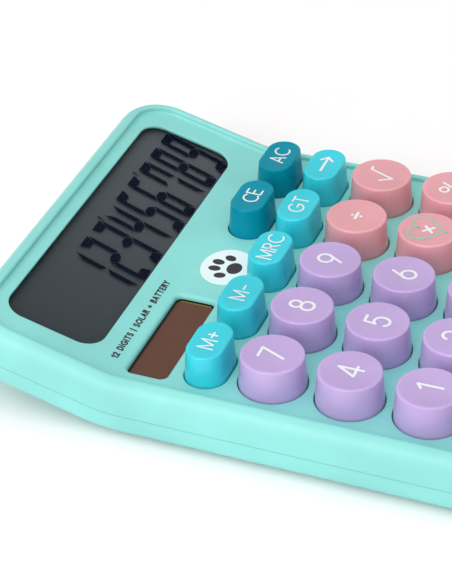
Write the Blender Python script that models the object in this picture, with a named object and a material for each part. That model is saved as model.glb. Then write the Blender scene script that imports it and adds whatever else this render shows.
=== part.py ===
"""Twelve-digit desk calculator with a tilted display, modelled piece by piece.

The case is drawn flat first: "across" is X, "along" runs over the deck from the
front edge to the rear edge, and "height" stands up from the deck's surface.
on_case() then bends that drawing at the foot of the display, so that walls,
windows and screw posts stay square to the deck that they belong to.  The battery
housing and its pieces are drawn straight up from the table.
"""

import math

import bmesh
import bpy
from mathutils import Matrix, Vector

MM = 0.001
GAP = 0.3 * MM                  # between pieces that touch or seat on each other
PAST = 1.0 * MM                 # how far a cutter runs past what it cuts
TINY = 1e-7
SIDEWAYS = Matrix(((0, 0, 1, 0), (1, 0, 0, 0), (0, 1, 0, 0), (0, 0, 0, 1)))  # draws a side view

# Keyboard
COLUMN_PITCH = 24.0 * MM
COLUMN_GAP = 4.64 * MM          # between the round keys of one row
ROW_GAP = 3.17 * MM             # between the rows of round keys
FUNCTION_DEPTH = 12.3 * MM      # front to back of an oval key
FUNCTION_SHORTER = 0.38 * MM    # at each end, against a round key
FUNCTION_ROW_GAP = 2.63 * MM    # between the two rows of oval keys
NUMBER_TO_FUNCTION = 2.78 * MM  # between the round keys and the oval ones

# Key caps
KEY_HEIGHT = 9.78 * MM
KEY_TRAVEL = 2.5 * MM
KEY_WALL = 1.4 * MM
KEY_TAPER = 0.62 * MM           # a round cap's radius lost between deck and top
FUNCTION_TAPER_X = 0.35 * MM
FUNCTION_TAPER_Y = 0.85 * MM
KEY_CLEARANCE = 0.3 * MM
FLANGE_OUT = 0.85 * MM
FLANGE_THICK = 0.8 * MM
STEM_RADIUS = 2.2 * MM
STEM_BELOW_MOUTH = 1.0 * MM
KEY_STEPS = 4                   # straight steps to a quarter turn

# Layers under the deck
DECK_THICK = 2.0 * MM
DOME_SPARE = 1.4 * MM           # what is left of a rubber dome when it is pressed
DOME_RADIUS = 4.2 * MM
DOME_TOP_RADIUS = 3.0 * MM
SHEET_THICK = 0.7 * MM
SHEET_MARGIN = 0.6 * MM         # of the keypad sheet behind its rear domes
BOARD_THICK = 1.6 * MM
UNDER_BOARD = 3.1 * MM
BOARD_MARGIN = 6.0 * MM         # from the lip's line inwards to the board's edge
BOARD_CORNER = 2.0 * MM
PLATE_CORNER = 1.0 * MM
CUT_CORNER = 1                  # straight steps to a quarter turn on a plate's corner
CHIP_RADIUS = 6.0 * MM
CHIP_TOP_RADIUS = 4.0 * MM
CHIP_THICK = 1.3 * MM
CAPACITOR_SIZE = (6.4 * MM, 2.5 * MM, 1.8 * MM)

# Case
SIDE_MARGIN = 4.48 * MM         # keys to the lip
FRONT_MARGIN = 3.8 * MM
BEND_MARGIN = 3.51 * MM         # rear oval keys to the bend
LIP_HEIGHT = 1.8 * MM
SHOULDER_OUT = 5.04 * MM
SHOULDER_DROP = 10.1 * MM
SHOULDER_STEPS = 4
CASE_CORNER = 16.0 * MM
CASE_WALL = 2.0 * MM
FLOOR_WALL = 1.8 * MM
BOTTOM_ROUND = 4.0 * MM
BOTTOM_STEPS = 3
CORNER_STEPS = 6
TONGUE_HEIGHT = 2.0 * MM        # of the lower shell, inside the upper one
TONGUE_THICK = 1.1 * MM

# Display part
DISPLAY_TILT = math.radians(15.18)
BEND_RADIUS = 30.0 * MM
BEND_STEPS = 4
WINDOW_START = 8.25 * MM        # from the bend, up the slope
WINDOW_DEPTH = 30.25 * MM
WINDOW_TO_REAR = 4.3 * MM
WINDOW_SIDE = 8.68 * MM         # lip to window
WINDOW_CORNER = 6.6 * MM
WINDOW_LIP = 0.7 * MM           # deck left above the lens
LENS_LEDGE = 1.0 * MM           # the lens reaches this far under the lip
LENS_THICK = 0.8 * MM
LCD_LEDGE = 1.6 * MM
LCD_THICK = 2.2 * MM
LCD_CORNER = 0.8 * MM
LCD_FRAME_THICK = 1.4 * MM
LCD_FRAME_BORDER = 6.0 * MM
LCD_FRAME_SHORT = 2.0 * MM      # left free in front of the frame, for the ribbon
LCD_EAR = 6.0 * MM              # width of each ear
LCD_EAR_FROM_END = 5.0 * MM
LCD_EAR_MARGIN = 1.0 * MM       # of an ear beyond its pin's hole

# Solar cell
SOLAR_WIDTH = 38.46 * MM
SOLAR_DEPTH = 12.02 * MM
SOLAR_CORNER = 2.0 * MM
SOLAR_FROM_COLUMN = 10.37 * MM  # across, from the first column of keys
SOLAR_FROM_ROW = 1.31 * MM      # along, from the rear row of oval keys
SOLAR_LIP = 1.5 * MM
SOLAR_LEDGE = 1.2 * MM
SOLAR_THICK = 1.1 * MM

# Battery housing under the display
BATTERY_RADIUS = 5.25 * MM
BATTERY_LENGTH = 44.5 * MM
BATTERY_SPACE = 0.4 * MM
SPRING_SPACE = 4.5 * MM
PLATE_SPACE = 1.2 * MM
CONTACT_THICK = 0.4 * MM
CONTACT_WIDTH = 8.0 * MM
CONTACT_HEIGHT = 6.4 * MM
TAB_FROM_AXIS = 1.8 * MM        # along, from the cell's axis to a contact's tab
TAB_THICK = 0.32 * MM
TAB_ABOVE_WELL = 1.0 * MM
SPRING_FOLD = ((0.0, 1.0 * MM), (0.6 * MM, 0.0), (1.5 * MM, 0.5 * MM))  # from the blade's front
SPRING_TIP = ((0.0, -0.5 * MM), (-0.3 * MM, 1.5 * MM))  # from where it meets the cell
BUTTON_RADIUS = 1.89 * MM
BUTTON_LENGTH = 0.8 * MM
WELL_WALL = 1.5 * MM
HOUSING_START = 6.0 * MM        # from the bend, up the slope
HOUSING_END = 40.0 * MM
HOUSING_INSET = 19.2 * MM       # from the case's side
HOLLOW_RISE = 1.5               # the housing's hollow rises by this many times its inset
BATTERY_FROM_REAR = 10.7 * MM
DOOR_THICK = 2.1 * MM
DOOR_TONGUE = 2.0 * MM
DOOR_TONGUE_THICK = 0.9 * MM
DOOR_TONGUE_SHORT = 2.0 * MM    # of the tongues at the door's rear
DOOR_MARGIN = 1.4 * MM          # from the well's wall to the door's side
GRIPS = 4                       # grooves for the thumb
GRIP_PITCH = 2.4 * MM
GRIP_WIDTH = 1.2 * MM
GRIP_HALF = 7.0 * MM
GRIP_DEPTH = 0.6 * MM
GRIP_FROM_REAR = 6.0 * MM

# Feet and screws
FOOT_RADIUS = 4.6 * MM
FOOT_STAND = 1.2 * MM
FOOT_RECESS = 0.6 * MM
FOOT_CHAMFER = 0.5 * MM
FOOT_FROM_LIP = 10.12 * MM
FOOT_STEPS = 3                  # straight steps to a quarter turn on wide round pieces
POST_RADIUS = 2.6 * MM
SMALL_POST_RADIUS = 2.0 * MM
PIN_RADIUS = 1.3 * MM           # of the pins that the display's frame is staked on
PIN_PAST_FRAME = 0.9 * MM
BOSS_RADIUS = 3.8 * MM
REAR_BOSS_HEIGHT = 3.0 * MM
SCREW_RADIUS = 1.1 * MM
SCREW_HEAD_RADIUS = 2.4 * MM
SCREW_HEAD_THICK = 1.4 * MM
SCREW_TO_DECK = 4.0 * MM        # left between a screw's tip and the deck
SMALL_SCREW_TO_DECK = 2.0 * MM
SMALL_SCREW_RADIUS = 0.8 * MM
SMALL_HEAD_RADIUS = 1.7 * MM
SMALL_HEAD_THICK = 1.0 * MM
ROUND_STEPS = 2                 # straight steps to a quarter turn on small posts

# Leads
LEAD_WIDTH = 2.4 * MM
LEAD_THICK = 0.7 * MM
LEAD_FROM_REAR = 1.4 * MM       # from the board's rear edge
LEAD_UNDER_CELL = ((-3.5 * MM, 0.0), (-1.0 * MM, 0.0), (0.6 * MM, -1.6 * MM))
LEAD_ON_BOARD = ((0.6 * MM, 1.4 * MM), (-0.4 * MM, 0.0), (-1.6 * MM, 0.0))
WIRE_RADIUS = 0.45 * MM
WIRE_BESIDE = 3.0 * MM          # from the well's wall
WIRE_OUT = 2.0 * MM             # from there, where the wires run forward
WIRE_FROM_TAB = ((1.2 * MM, 2.6 * MM), (2.4 * MM, 2.4 * MM))
WIRE_TAB_HEIGHT = 0.8 * MM      # over the well
WIRE_ROUND_WELL = ((0.0, 1.0 * MM, -1.9 * MM), (1.5 * MM, -2.0 * MM, -4.9 * MM))
WIRE_OVER_FLOOR = ((-10.0 * MM, -1.0 * MM), (-22.0 * MM, -1.6 * MM))
WIRE_ON_BOARD = ((2.0 * MM, 0.4 * MM), (-1.8 * MM, 0.0))
RIBBON_THICK = 0.4 * MM
RIBBON_FROM_WIRES = 1.2 * MM
RIBBON_ON_MODULE = 1.5 * MM
RIBBON_OVER_BOARD = 2.0 * MM
RIBBON_ON_BOARD = (0.5 * MM, 3.6 * MM)
RIBBON_BEHIND_BOARD = 0.6 * MM

# Sizes that follow from the ones above
KEY_RADIUS = (COLUMN_PITCH - COLUMN_GAP) / 2
ROW_PITCH = 2 * KEY_RADIUS + ROW_GAP
FUNCTION_HALF = KEY_RADIUS - FUNCTION_SHORTER
FUNCTION_ROW = KEY_RADIUS + NUMBER_TO_FUNCTION + FUNCTION_DEPTH / 2
REAR_FUNCTION_ROW = FUNCTION_ROW + FUNCTION_DEPTH + FUNCTION_ROW_GAP

MOUTH = -(DECK_THICK + GAP + FLANGE_THICK)
STEM_END = MOUTH - STEM_BELOW_MOUTH
DOME_TOP = STEM_END - GAP
SHEET_TOP = DOME_TOP - KEY_TRAVEL - DOME_SPARE
SHEET_BOTTOM = SHEET_TOP - SHEET_THICK
BOARD_TOP = SHEET_BOTTOM - GAP
BOARD_BOTTOM = BOARD_TOP - BOARD_THICK
FLOOR_TOP = BOARD_BOTTOM - UNDER_BOARD
CASE_BOTTOM = FLOOR_TOP - FLOOR_WALL
PARTING = LIP_HEIGHT - SHOULDER_DROP

LIP_HALF_WIDTH = 2 * COLUMN_PITCH + KEY_RADIUS + SIDE_MARGIN
CASE_HALF_WIDTH = LIP_HALF_WIDTH + SHOULDER_OUT
CASE_FRONT = -3 * ROW_PITCH - KEY_RADIUS - FRONT_MARGIN - SHOULDER_OUT
BEND_LINE = REAR_FUNCTION_ROW + FUNCTION_DEPTH / 2 + BEND_MARGIN
BEND_TANGENT = BEND_RADIUS * math.tan(DISPLAY_TILT / 2)
BEND_START = BEND_LINE - BEND_TANGENT
BEND_ARC = BEND_RADIUS * DISPLAY_TILT


def slope(distance):
    """Return how far along the flat deck a point up the display's slope lies."""
    return BEND_START + BEND_ARC + distance - BEND_TANGENT


DISPLAY_LENGTH = WINDOW_START + WINDOW_DEPTH + WINDOW_TO_REAR + SHOULDER_OUT
CASE_REAR = slope(DISPLAY_LENGTH)
REAR_REACH = (
    BEND_LINE
    + (DISPLAY_LENGTH - BOTTOM_ROUND) * math.cos(DISPLAY_TILT)
    - (CASE_BOTTOM + BOTTOM_ROUND) * math.sin(DISPLAY_TILT)
    + BOTTOM_ROUND
)
TO_MIDDLE = -(CASE_FRONT + REAR_REACH) / 2
TO_TABLE = FOOT_STAND - CASE_BOTTOM

WINDOW_MIDDLE = WINDOW_START + WINDOW_DEPTH / 2
WINDOW_HALF = LIP_HALF_WIDTH - WINDOW_SIDE
LENS_TOP = -(WINDOW_LIP + GAP)
LCD_TOP = LENS_TOP - LENS_THICK - GAP
LCD_FRAME_TOP = LCD_TOP - LCD_THICK - GAP
LCD_FRAME_BOTTOM = LCD_FRAME_TOP - LCD_FRAME_THICK
SIDE_POST = (WINDOW_HALF + LENS_LEDGE + CASE_HALF_WIDTH - CASE_WALL - TONGUE_THICK - GAP) / 2

SOLAR_X = -2 * COLUMN_PITCH + SOLAR_FROM_COLUMN
SOLAR_Y = REAR_FUNCTION_ROW + SOLAR_FROM_ROW
SOLAR_TOP = -(SOLAR_LIP + GAP)

BOARD_HALF = LIP_HALF_WIDTH - BOARD_MARGIN
BOARD_FRONT = -3 * ROW_PITCH - KEY_RADIUS - FLANGE_OUT
BOARD_REAR = BEND_LINE
SHEET_REAR = REAR_FUNCTION_ROW + DOME_RADIUS + SHEET_MARGIN

WELL_HALF = (BATTERY_LENGTH + SPRING_SPACE + PLATE_SPACE) / 2
DOOR_TOP = CASE_BOTTOM + DOOR_THICK
BATTERY_Z = DOOR_TOP + BATTERY_SPACE + BATTERY_RADIUS
BATTERY_X = WELL_HALF - PLATE_SPACE - BATTERY_LENGTH / 2
WELL_CEILING = BATTERY_Z + BATTERY_RADIUS + BATTERY_SPACE
WELL_REACH = BATTERY_RADIUS + 2 * BATTERY_SPACE
HOUSING_HALF = CASE_HALF_WIDTH - HOUSING_INSET
DOOR_HALF = WELL_HALF + WELL_WALL + DOOR_MARGIN
DOOR_TONGUE_LOW = CASE_BOTTOM + (DOOR_THICK - DOOR_TONGUE_THICK)

MIDDLE_COLUMNS = (-COLUMN_PITCH / 2, COLUMN_PITCH / 2)
OUTER_COLUMNS = (-1.5 * COLUMN_PITCH, 1.5 * COLUMN_PITCH)
POST_FORWARD = KEY_RADIUS / 8      # the oval keys' flat sides leave less room than round ones
REAR_POST_ROW = (KEY_RADIUS + FUNCTION_ROW - FUNCTION_DEPTH / 2) / 2 - POST_FORWARD
CHIP_ROW = -2 * ROW_PITCH / 3


def srgb(red, green, blue):
    """Return a linear colour with full alpha from 0 to 255 display values."""
    def linear(value):
        share = value / 255
        return share / 12.92 if share <= 0.04045 else ((share + 0.055) / 1.055) ** 2.4
    return (linear(red), linear(green), linear(blue), 1.0)


# name: (colour, roughness, metallic)
FINISHES = {
    "mint_plastic": (srgb(147, 220, 215), 0.38, 0.0),
    "lilac_plastic": (srgb(186, 168, 220), 0.35, 0.0),
    "pink_plastic": (srgb(224, 165, 170), 0.35, 0.0),
    "cyan_plastic": (srgb(66, 206, 222), 0.35, 0.0),
    "teal_plastic": (srgb(22, 143, 166), 0.35, 0.0),
    "clear_lens": (srgb(225, 232, 235), 0.08, 0.0),
    "lcd_glass": (srgb(72, 80, 84), 0.2, 0.0),
    "solar_glass": (srgb(102, 70, 58), 0.2, 0.0),
    "white_plastic": (srgb(224, 226, 224), 0.5, 0.0),
    "grey_rubber": (srgb(150, 152, 155), 0.8, 0.0),
    "dark_rubber": (srgb(60, 62, 64), 0.85, 0.0),
    "green_board": (srgb(30, 96, 62), 0.45, 0.0),
    "black_resin": (srgb(22, 22, 24), 0.4, 0.0),
    "orange_film": (srgb(196, 120, 52), 0.4, 0.0),
    "red_wire": (srgb(178, 36, 34), 0.5, 0.0),
    "steel": (srgb(186, 188, 190), 0.3, 1.0),
    "battery_jacket": (srgb(52, 60, 72), 0.4, 0.2),
}


def finish(name):
    """Return the material of that name, made once."""
    if name in bpy.data.materials:
        return bpy.data.materials[name]
    colour, roughness, metallic = FINISHES[name]
    material = bpy.data.materials.new(name)
    material.use_nodes = True
    shader = material.node_tree.nodes["Principled BSDF"]
    shader.inputs["Base Color"].default_value = colour
    shader.inputs["Roughness"].default_value = roughness
    shader.inputs["Metallic"].default_value = metallic
    material.diffuse_color = colour
    return material


# Places

def on_table(across, along, height):
    """Return the real place of a point that is not bent with the deck."""
    return Vector((across, along + TO_MIDDLE, height + TO_TABLE))


def tilt_at(along):
    """Return the deck's tilt at a place along it."""
    return min(max(along - BEND_START, 0.0), BEND_ARC) / BEND_RADIUS


def on_case(across, along, height=0.0):
    """Return the real place of a point drawn on the flat deck."""
    tilt = tilt_at(along)
    straight = max(along - BEND_START - BEND_ARC, 0.0)
    forward = min(along, BEND_START) + BEND_RADIUS * math.sin(tilt) + straight * math.cos(tilt)
    up = BEND_RADIUS * (1 - math.cos(tilt)) + straight * math.sin(tilt)
    return on_table(across, forward - height * math.sin(tilt), up + height * math.cos(tilt))


def deck_frame(across, along, height=0.0):
    """Return the place and turn of a piece that stands square on the deck."""
    turn = Matrix.Rotation(tilt_at(along), 4, "X")
    return Matrix.Translation(on_case(across, along, height)) @ turn


# Shapes

def outline(half_x, half_y, corner, steps, middle=(0.0, 0.0)):
    """Return a rectangle's outline with round corners, anticlockwise."""
    points = []
    for quarter, (side_x, side_y) in enumerate(((1, 1), (-1, 1), (-1, -1), (1, -1))):
        for step in range(steps + 1):
            angle = (quarter + step / steps) * math.pi / 2
            point = Vector((
                middle[0] + side_x * (half_x - corner) + corner * math.cos(angle),
                middle[1] + side_y * (half_y - corner) + corner * math.sin(angle),
            ))
            if not points or (point - points[-1]).length > TINY:
                points.append(point)
    if (points[0] - points[-1]).length < TINY:
        points.pop()
    return points


def circle(radius, middle=(0.0, 0.0), steps=ROUND_STEPS):
    """Return a circle's outline, anticlockwise."""
    return outline(radius, radius, radius, steps, middle)


def strip(points, thickness):
    """Return the outline of a thin strip that follows a line of points."""
    left, right = [], []
    for index, point in enumerate(points):
        before = points[max(index - 1, 0)]
        after = points[min(index + 1, len(points) - 1)]
        side = (after - before).normalized().orthogonal() * thickness / 2
        left.append(point + side)
        right.append(point - side)
    return left + right[::-1]


def add_loft(mesh, sections, frame=Matrix()):
    """Add a closed body through sections, each an outline and its height."""
    rings = [
        [mesh.verts.new(frame @ Vector((point.x, point.y, height))) for point in points]
        for points, height in sections
    ]
    for ring, following in zip(rings, rings[1:]):
        for index, corner in enumerate(ring):
            after = (index + 1) % len(ring)
            mesh.faces.new((corner, ring[after], following[after], following[index]))
    mesh.faces.new(rings[0][::-1])
    mesh.faces.new(rings[-1])


def add_prism(mesh, points, low, high, frame=Matrix()):
    """Add a straight closed body of one outline."""
    add_loft(mesh, [(points, low), (points, high)], frame)


def add_block(mesh, low, high):
    """Add a box between two opposite corners, set on the table and not bent."""
    size = high - low
    frame = Matrix.Translation((low + high) / 2) @ Matrix.Diagonal((*size, 1.0))
    bmesh.ops.create_cube(mesh, size=1.0, matrix=frame)


def table_block(mesh, across, along, height):
    """Add a box from three (low, high) pairs drawn from the table."""
    low, high = zip(across, along, height)
    add_block(mesh, on_table(*low), on_table(*high))


def closed_mesh(bodies):
    """Turn a bmesh into a mesh whose faces point outwards."""
    bmesh.ops.recalc_face_normals(bodies, faces=bodies.faces)
    mesh = bpy.data.meshes.new("shape")
    bodies.to_mesh(mesh)
    bodies.free()
    return mesh


def joined(base, tool, operation):
    """Return base joined with, or cut by, the closed bodies in tool."""
    pair = [bpy.data.objects.new(label, mesh) for label, mesh in (("base", base), ("tool", tool))]
    for item in pair:
        bpy.context.scene.collection.objects.link(item)
    modifier = pair[0].modifiers.new("shape", "BOOLEAN")
    modifier.operation = operation
    modifier.solver = "EXACT"
    modifier.object = pair[1]
    graph = bpy.context.evaluated_depsgraph_get()
    result = bpy.data.meshes.new_from_object(pair[0].evaluated_get(graph))
    for item in pair:
        spent = item.data
        bpy.data.objects.remove(item)
        bpy.data.meshes.remove(spent)
    return result


def bent(flat):
    """Return a flat drawing's mesh bent onto the real case."""
    bodies = bmesh.new()
    bodies.from_mesh(flat)
    bmesh.ops.triangulate(bodies, faces=bodies.faces)
    for vertex in bodies.verts:
        vertex.co = on_case(*vertex.co)
    bodies.to_mesh(flat)
    bodies.free()
    return flat


def piece(name, mesh, material, frame=Matrix(), smooth_below=35.0):
    """Place a mesh in the scene as a named piece."""
    mesh.name = name
    mesh.materials.clear()
    mesh.materials.append(finish(material))
    mesh.shade_smooth()
    mesh.set_sharp_from_angle(angle=math.radians(smooth_below))
    item = bpy.data.objects.new(name, mesh)
    bpy.context.scene.collection.objects.link(item)
    item.matrix_world = frame
    return item


# Places of keys, posts and screws

def keys():
    """Return each key's name, finish, across, along, and half sizes at the deck."""
    column = [COLUMN_PITCH * (index - 2) for index in range(5)]
    row = [-ROW_PITCH * index for index in range(4)]
    round_key = (KEY_RADIUS, KEY_RADIUS)
    oval_key = (FUNCTION_HALF, FUNCTION_DEPTH / 2)
    tall_key = (KEY_RADIUS, KEY_RADIUS + ROW_PITCH / 2)
    layout = []
    for index, name in enumerate(("m_plus", "m_minus", "mrc", "gt", "arrow")):
        layout.append((name, "cyan_plastic", column[index], FUNCTION_ROW, oval_key))
    for index, name in enumerate(("ce", "ac"), start=3):
        layout.append((name, "teal_plastic", column[index], REAR_FUNCTION_ROW, oval_key))
    rows = (
        ("7", "8", "9", "divide", "root"),
        ("4", "5", "6", "multiply", "percent"),
        ("1", "2", "3", "subtract"),
        ("0", "00", "point", "add"),
    )
    operators = ("divide", "root", "multiply", "percent", "subtract", "add")
    for along, names in zip(row, rows):
        for across, name in zip(column, names):
            colour = "pink_plastic" if name in operators else "lilac_plastic"
            layout.append((name, colour, across, along, round_key))
    layout.append(("equals", "pink_plastic", column[4], (row[2] + row[3]) / 2, tall_key))
    return layout


def case_screws():
    """Return the places, on the flat deck, of the screws that close the case."""
    places = [(across, -2.5 * ROW_PITCH) for across in MIDDLE_COLUMNS]
    places += [(across, REAR_POST_ROW) for across in OUTER_COLUMNS]
    places += [(side * SIDE_POST, slope(WINDOW_MIDDLE)) for side in (-1, 1)]
    return places


def board_screws():
    """Return the places of the screws that hold the circuit board."""
    places = [(across, -1.5 * ROW_PITCH) for across in OUTER_COLUMNS]
    return places + [(across, REAR_POST_ROW) for across in MIDDLE_COLUMNS]


def post_foot(place):
    """Return the height where a case screw's post ends, over its boss."""
    return BOARD_BOTTOM - GAP / 2 if place[1] < BEND_START else FLOOR_TOP + REAR_BOSS_HEIGHT


def frame_pins():
    """Return the places of the pins that the display's frame is staked on."""
    ends = (WINDOW_START + LCD_EAR_FROM_END, WINDOW_START + WINDOW_DEPTH - LCD_EAR_FROM_END)
    return [(side * SIDE_POST, slope(end)) for end in ends for side in (-1, 1)]


# Shells

def case_outline(inset):
    """Return the outline of the flat case, drawn in by inset."""
    half_length = (CASE_REAR - CASE_FRONT) / 2
    middle = (0.0, (CASE_REAR + CASE_FRONT) / 2)
    return outline(
        CASE_HALF_WIDTH - inset, half_length - inset, CASE_CORNER - inset, CORNER_STEPS, middle
    )


def case_solid(sections):
    """Return a flat solid of case outlines, split across where the deck bends."""
    flat = bmesh.new()
    add_loft(flat, [(case_outline(inset), height) for inset, height in sections])
    for step in range(BEND_STEPS + 1):
        station = BEND_START + BEND_ARC * step / BEND_STEPS
        everything = flat.verts[:] + flat.edges[:] + flat.faces[:]
        bmesh.ops.bisect_plane(
            flat, geom=everything, plane_co=(0.0, station, 0.0), plane_no=(0.0, 1.0, 0.0)
        )
    return closed_mesh(flat)


def shoulder():
    """Return the upper shell's outer side as insets and heights, from its foot up."""
    points = []
    for step in range(1, SHOULDER_STEPS + 1):
        angle = step / SHOULDER_STEPS * math.pi / 2
        inset = SHOULDER_OUT * (1 - math.cos(angle))
        points.append((inset, PARTING + SHOULDER_DROP * math.sin(angle)))
    return points


def make_top_shell():
    """Upper shell: the deck with its lip, key holes, windows and screw posts."""
    foot = PARTING + GAP / 2
    sections = [
        (CASE_WALL + TONGUE_THICK + GAP, -DECK_THICK),
        (CASE_WALL, PARTING + TONGUE_HEIGHT + 2 * GAP),
        (CASE_WALL, foot),
        (0.0, foot),
        *shoulder(),
        (SHOULDER_OUT, 0.0),
    ]
    flat = case_solid(sections)

    posts = bmesh.new()
    inside_deck = -DECK_THICK / 2
    for place in case_screws():
        add_prism(posts, circle(POST_RADIUS, place), post_foot(place), inside_deck)
    for place in board_screws():
        add_prism(posts, circle(SMALL_POST_RADIUS, place), BOARD_TOP + GAP, inside_deck)
    for place in frame_pins():
        add_prism(posts, circle(PIN_RADIUS, place), LCD_FRAME_BOTTOM - PIN_PAST_FRAME, inside_deck)
    flat = joined(flat, closed_mesh(posts), "UNION")

    holes = bmesh.new()
    above, below = LIP_HEIGHT + PAST, -DECK_THICK - PAST
    for _, _, across, along, (half_x, half_y) in keys():
        wide_x, wide_y = half_x + KEY_CLEARANCE, half_y + KEY_CLEARANCE
        corner = min(wide_x, wide_y)
        add_prism(holes, outline(wide_x, wide_y, corner, KEY_STEPS, (across, along)), below, above)
    middle = (0.0, slope(WINDOW_MIDDLE))
    window = outline(WINDOW_HALF, WINDOW_DEPTH / 2, WINDOW_CORNER, KEY_STEPS, middle)
    add_prism(holes, window, -WINDOW_LIP - GAP, above)
    solar = outline(SOLAR_WIDTH / 2, SOLAR_DEPTH / 2, SOLAR_CORNER, ROUND_STEPS, (SOLAR_X, SOLAR_Y))
    add_prism(holes, solar, -SOLAR_LIP - GAP / 2, above)
    flat = joined(flat, closed_mesh(holes), "DIFFERENCE")

    pockets = bmesh.new()
    reach = LENS_LEDGE + GAP
    ledge = outline(
        WINDOW_HALF + reach, WINDOW_DEPTH / 2 + reach, WINDOW_CORNER, KEY_STEPS, middle
    )
    add_prism(pockets, ledge, below, -WINDOW_LIP)
    reach = SOLAR_LEDGE + GAP
    ledge = outline(
        SOLAR_WIDTH / 2 + reach, SOLAR_DEPTH / 2 + reach, SOLAR_CORNER, ROUND_STEPS,
        (SOLAR_X, SOLAR_Y),
    )
    add_prism(pockets, ledge, below, -SOLAR_LIP)
    bores = [(place, SCREW_RADIUS, BOARD_BOTTOM) for place in case_screws()]
    bores += [(place, SMALL_SCREW_RADIUS, BOARD_TOP) for place in board_screws()]
    for place, radius, low in bores:
        top = -DECK_THICK - GAP
        add_prism(pockets, circle(radius + GAP, place), low - UNDER_BOARD - PAST, top)
    flat = joined(flat, closed_mesh(pockets), "DIFFERENCE")
    return piece("top_shell", bent(flat), "mint_plastic")


def bottom_round():
    """Return the lower shell's rounded foot as insets and heights, downwards."""
    points = []
    for step in range(BOTTOM_STEPS + 1):
        angle = step / BOTTOM_STEPS * math.pi / 2
        inset = BOTTOM_ROUND * (1 - math.cos(angle))
        points.append((inset, CASE_BOTTOM + BOTTOM_ROUND * (1 - math.sin(angle))))
    return points


def housing_profile(inset):
    """Return the battery housing's side view: corners as along and height."""
    start = on_case(0.0, slope(HOUSING_START), (FLOOR_TOP + CASE_BOTTOM) / 2)
    end = on_case(0.0, slope(HOUSING_END), (FLOOR_TOP + CASE_BOTTOM) / 2)
    low = on_table(0.0, 0.0, CASE_BOTTOM).z + inset
    raise_by = inset * HOLLOW_RISE
    return [
        Vector((start.y + inset, low)),
        Vector((end.y - inset, low)),
        Vector((end.y - inset, end.z + raise_by)),
        Vector((start.y + inset, start.z + raise_by)),
    ]


def battery_along():
    """Return the battery's place along the table."""
    return housing_profile(0.0)[1].x - TO_MIDDLE - BATTERY_FROM_REAR


def door_span():
    """Return the battery door's front and rear ends."""
    front = battery_along() - WELL_REACH - WELL_WALL
    rear = housing_profile(0.0)[1].x - TO_MIDDLE
    return front, rear


def add_housing(mesh, inset):
    """Add the battery housing's solid, drawn in by inset."""
    half = HOUSING_HALF - inset
    add_prism(mesh, housing_profile(inset), -half, half, SIDEWAYS)


def feet():
    """Return the rubber feet's places on the table."""
    front = -2.5 * ROW_PITCH - KEY_RADIUS
    front_side = LIP_HALF_WIDTH - FOOT_FROM_LIP
    rear_side = (DOOR_HALF + DOOR_TONGUE + HOUSING_HALF) / 2 + GAP
    places = [(side * front_side, front) for side in (-1, 1)]
    places += [(side * rear_side, battery_along()) for side in (-1, 1)]
    return places


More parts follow.
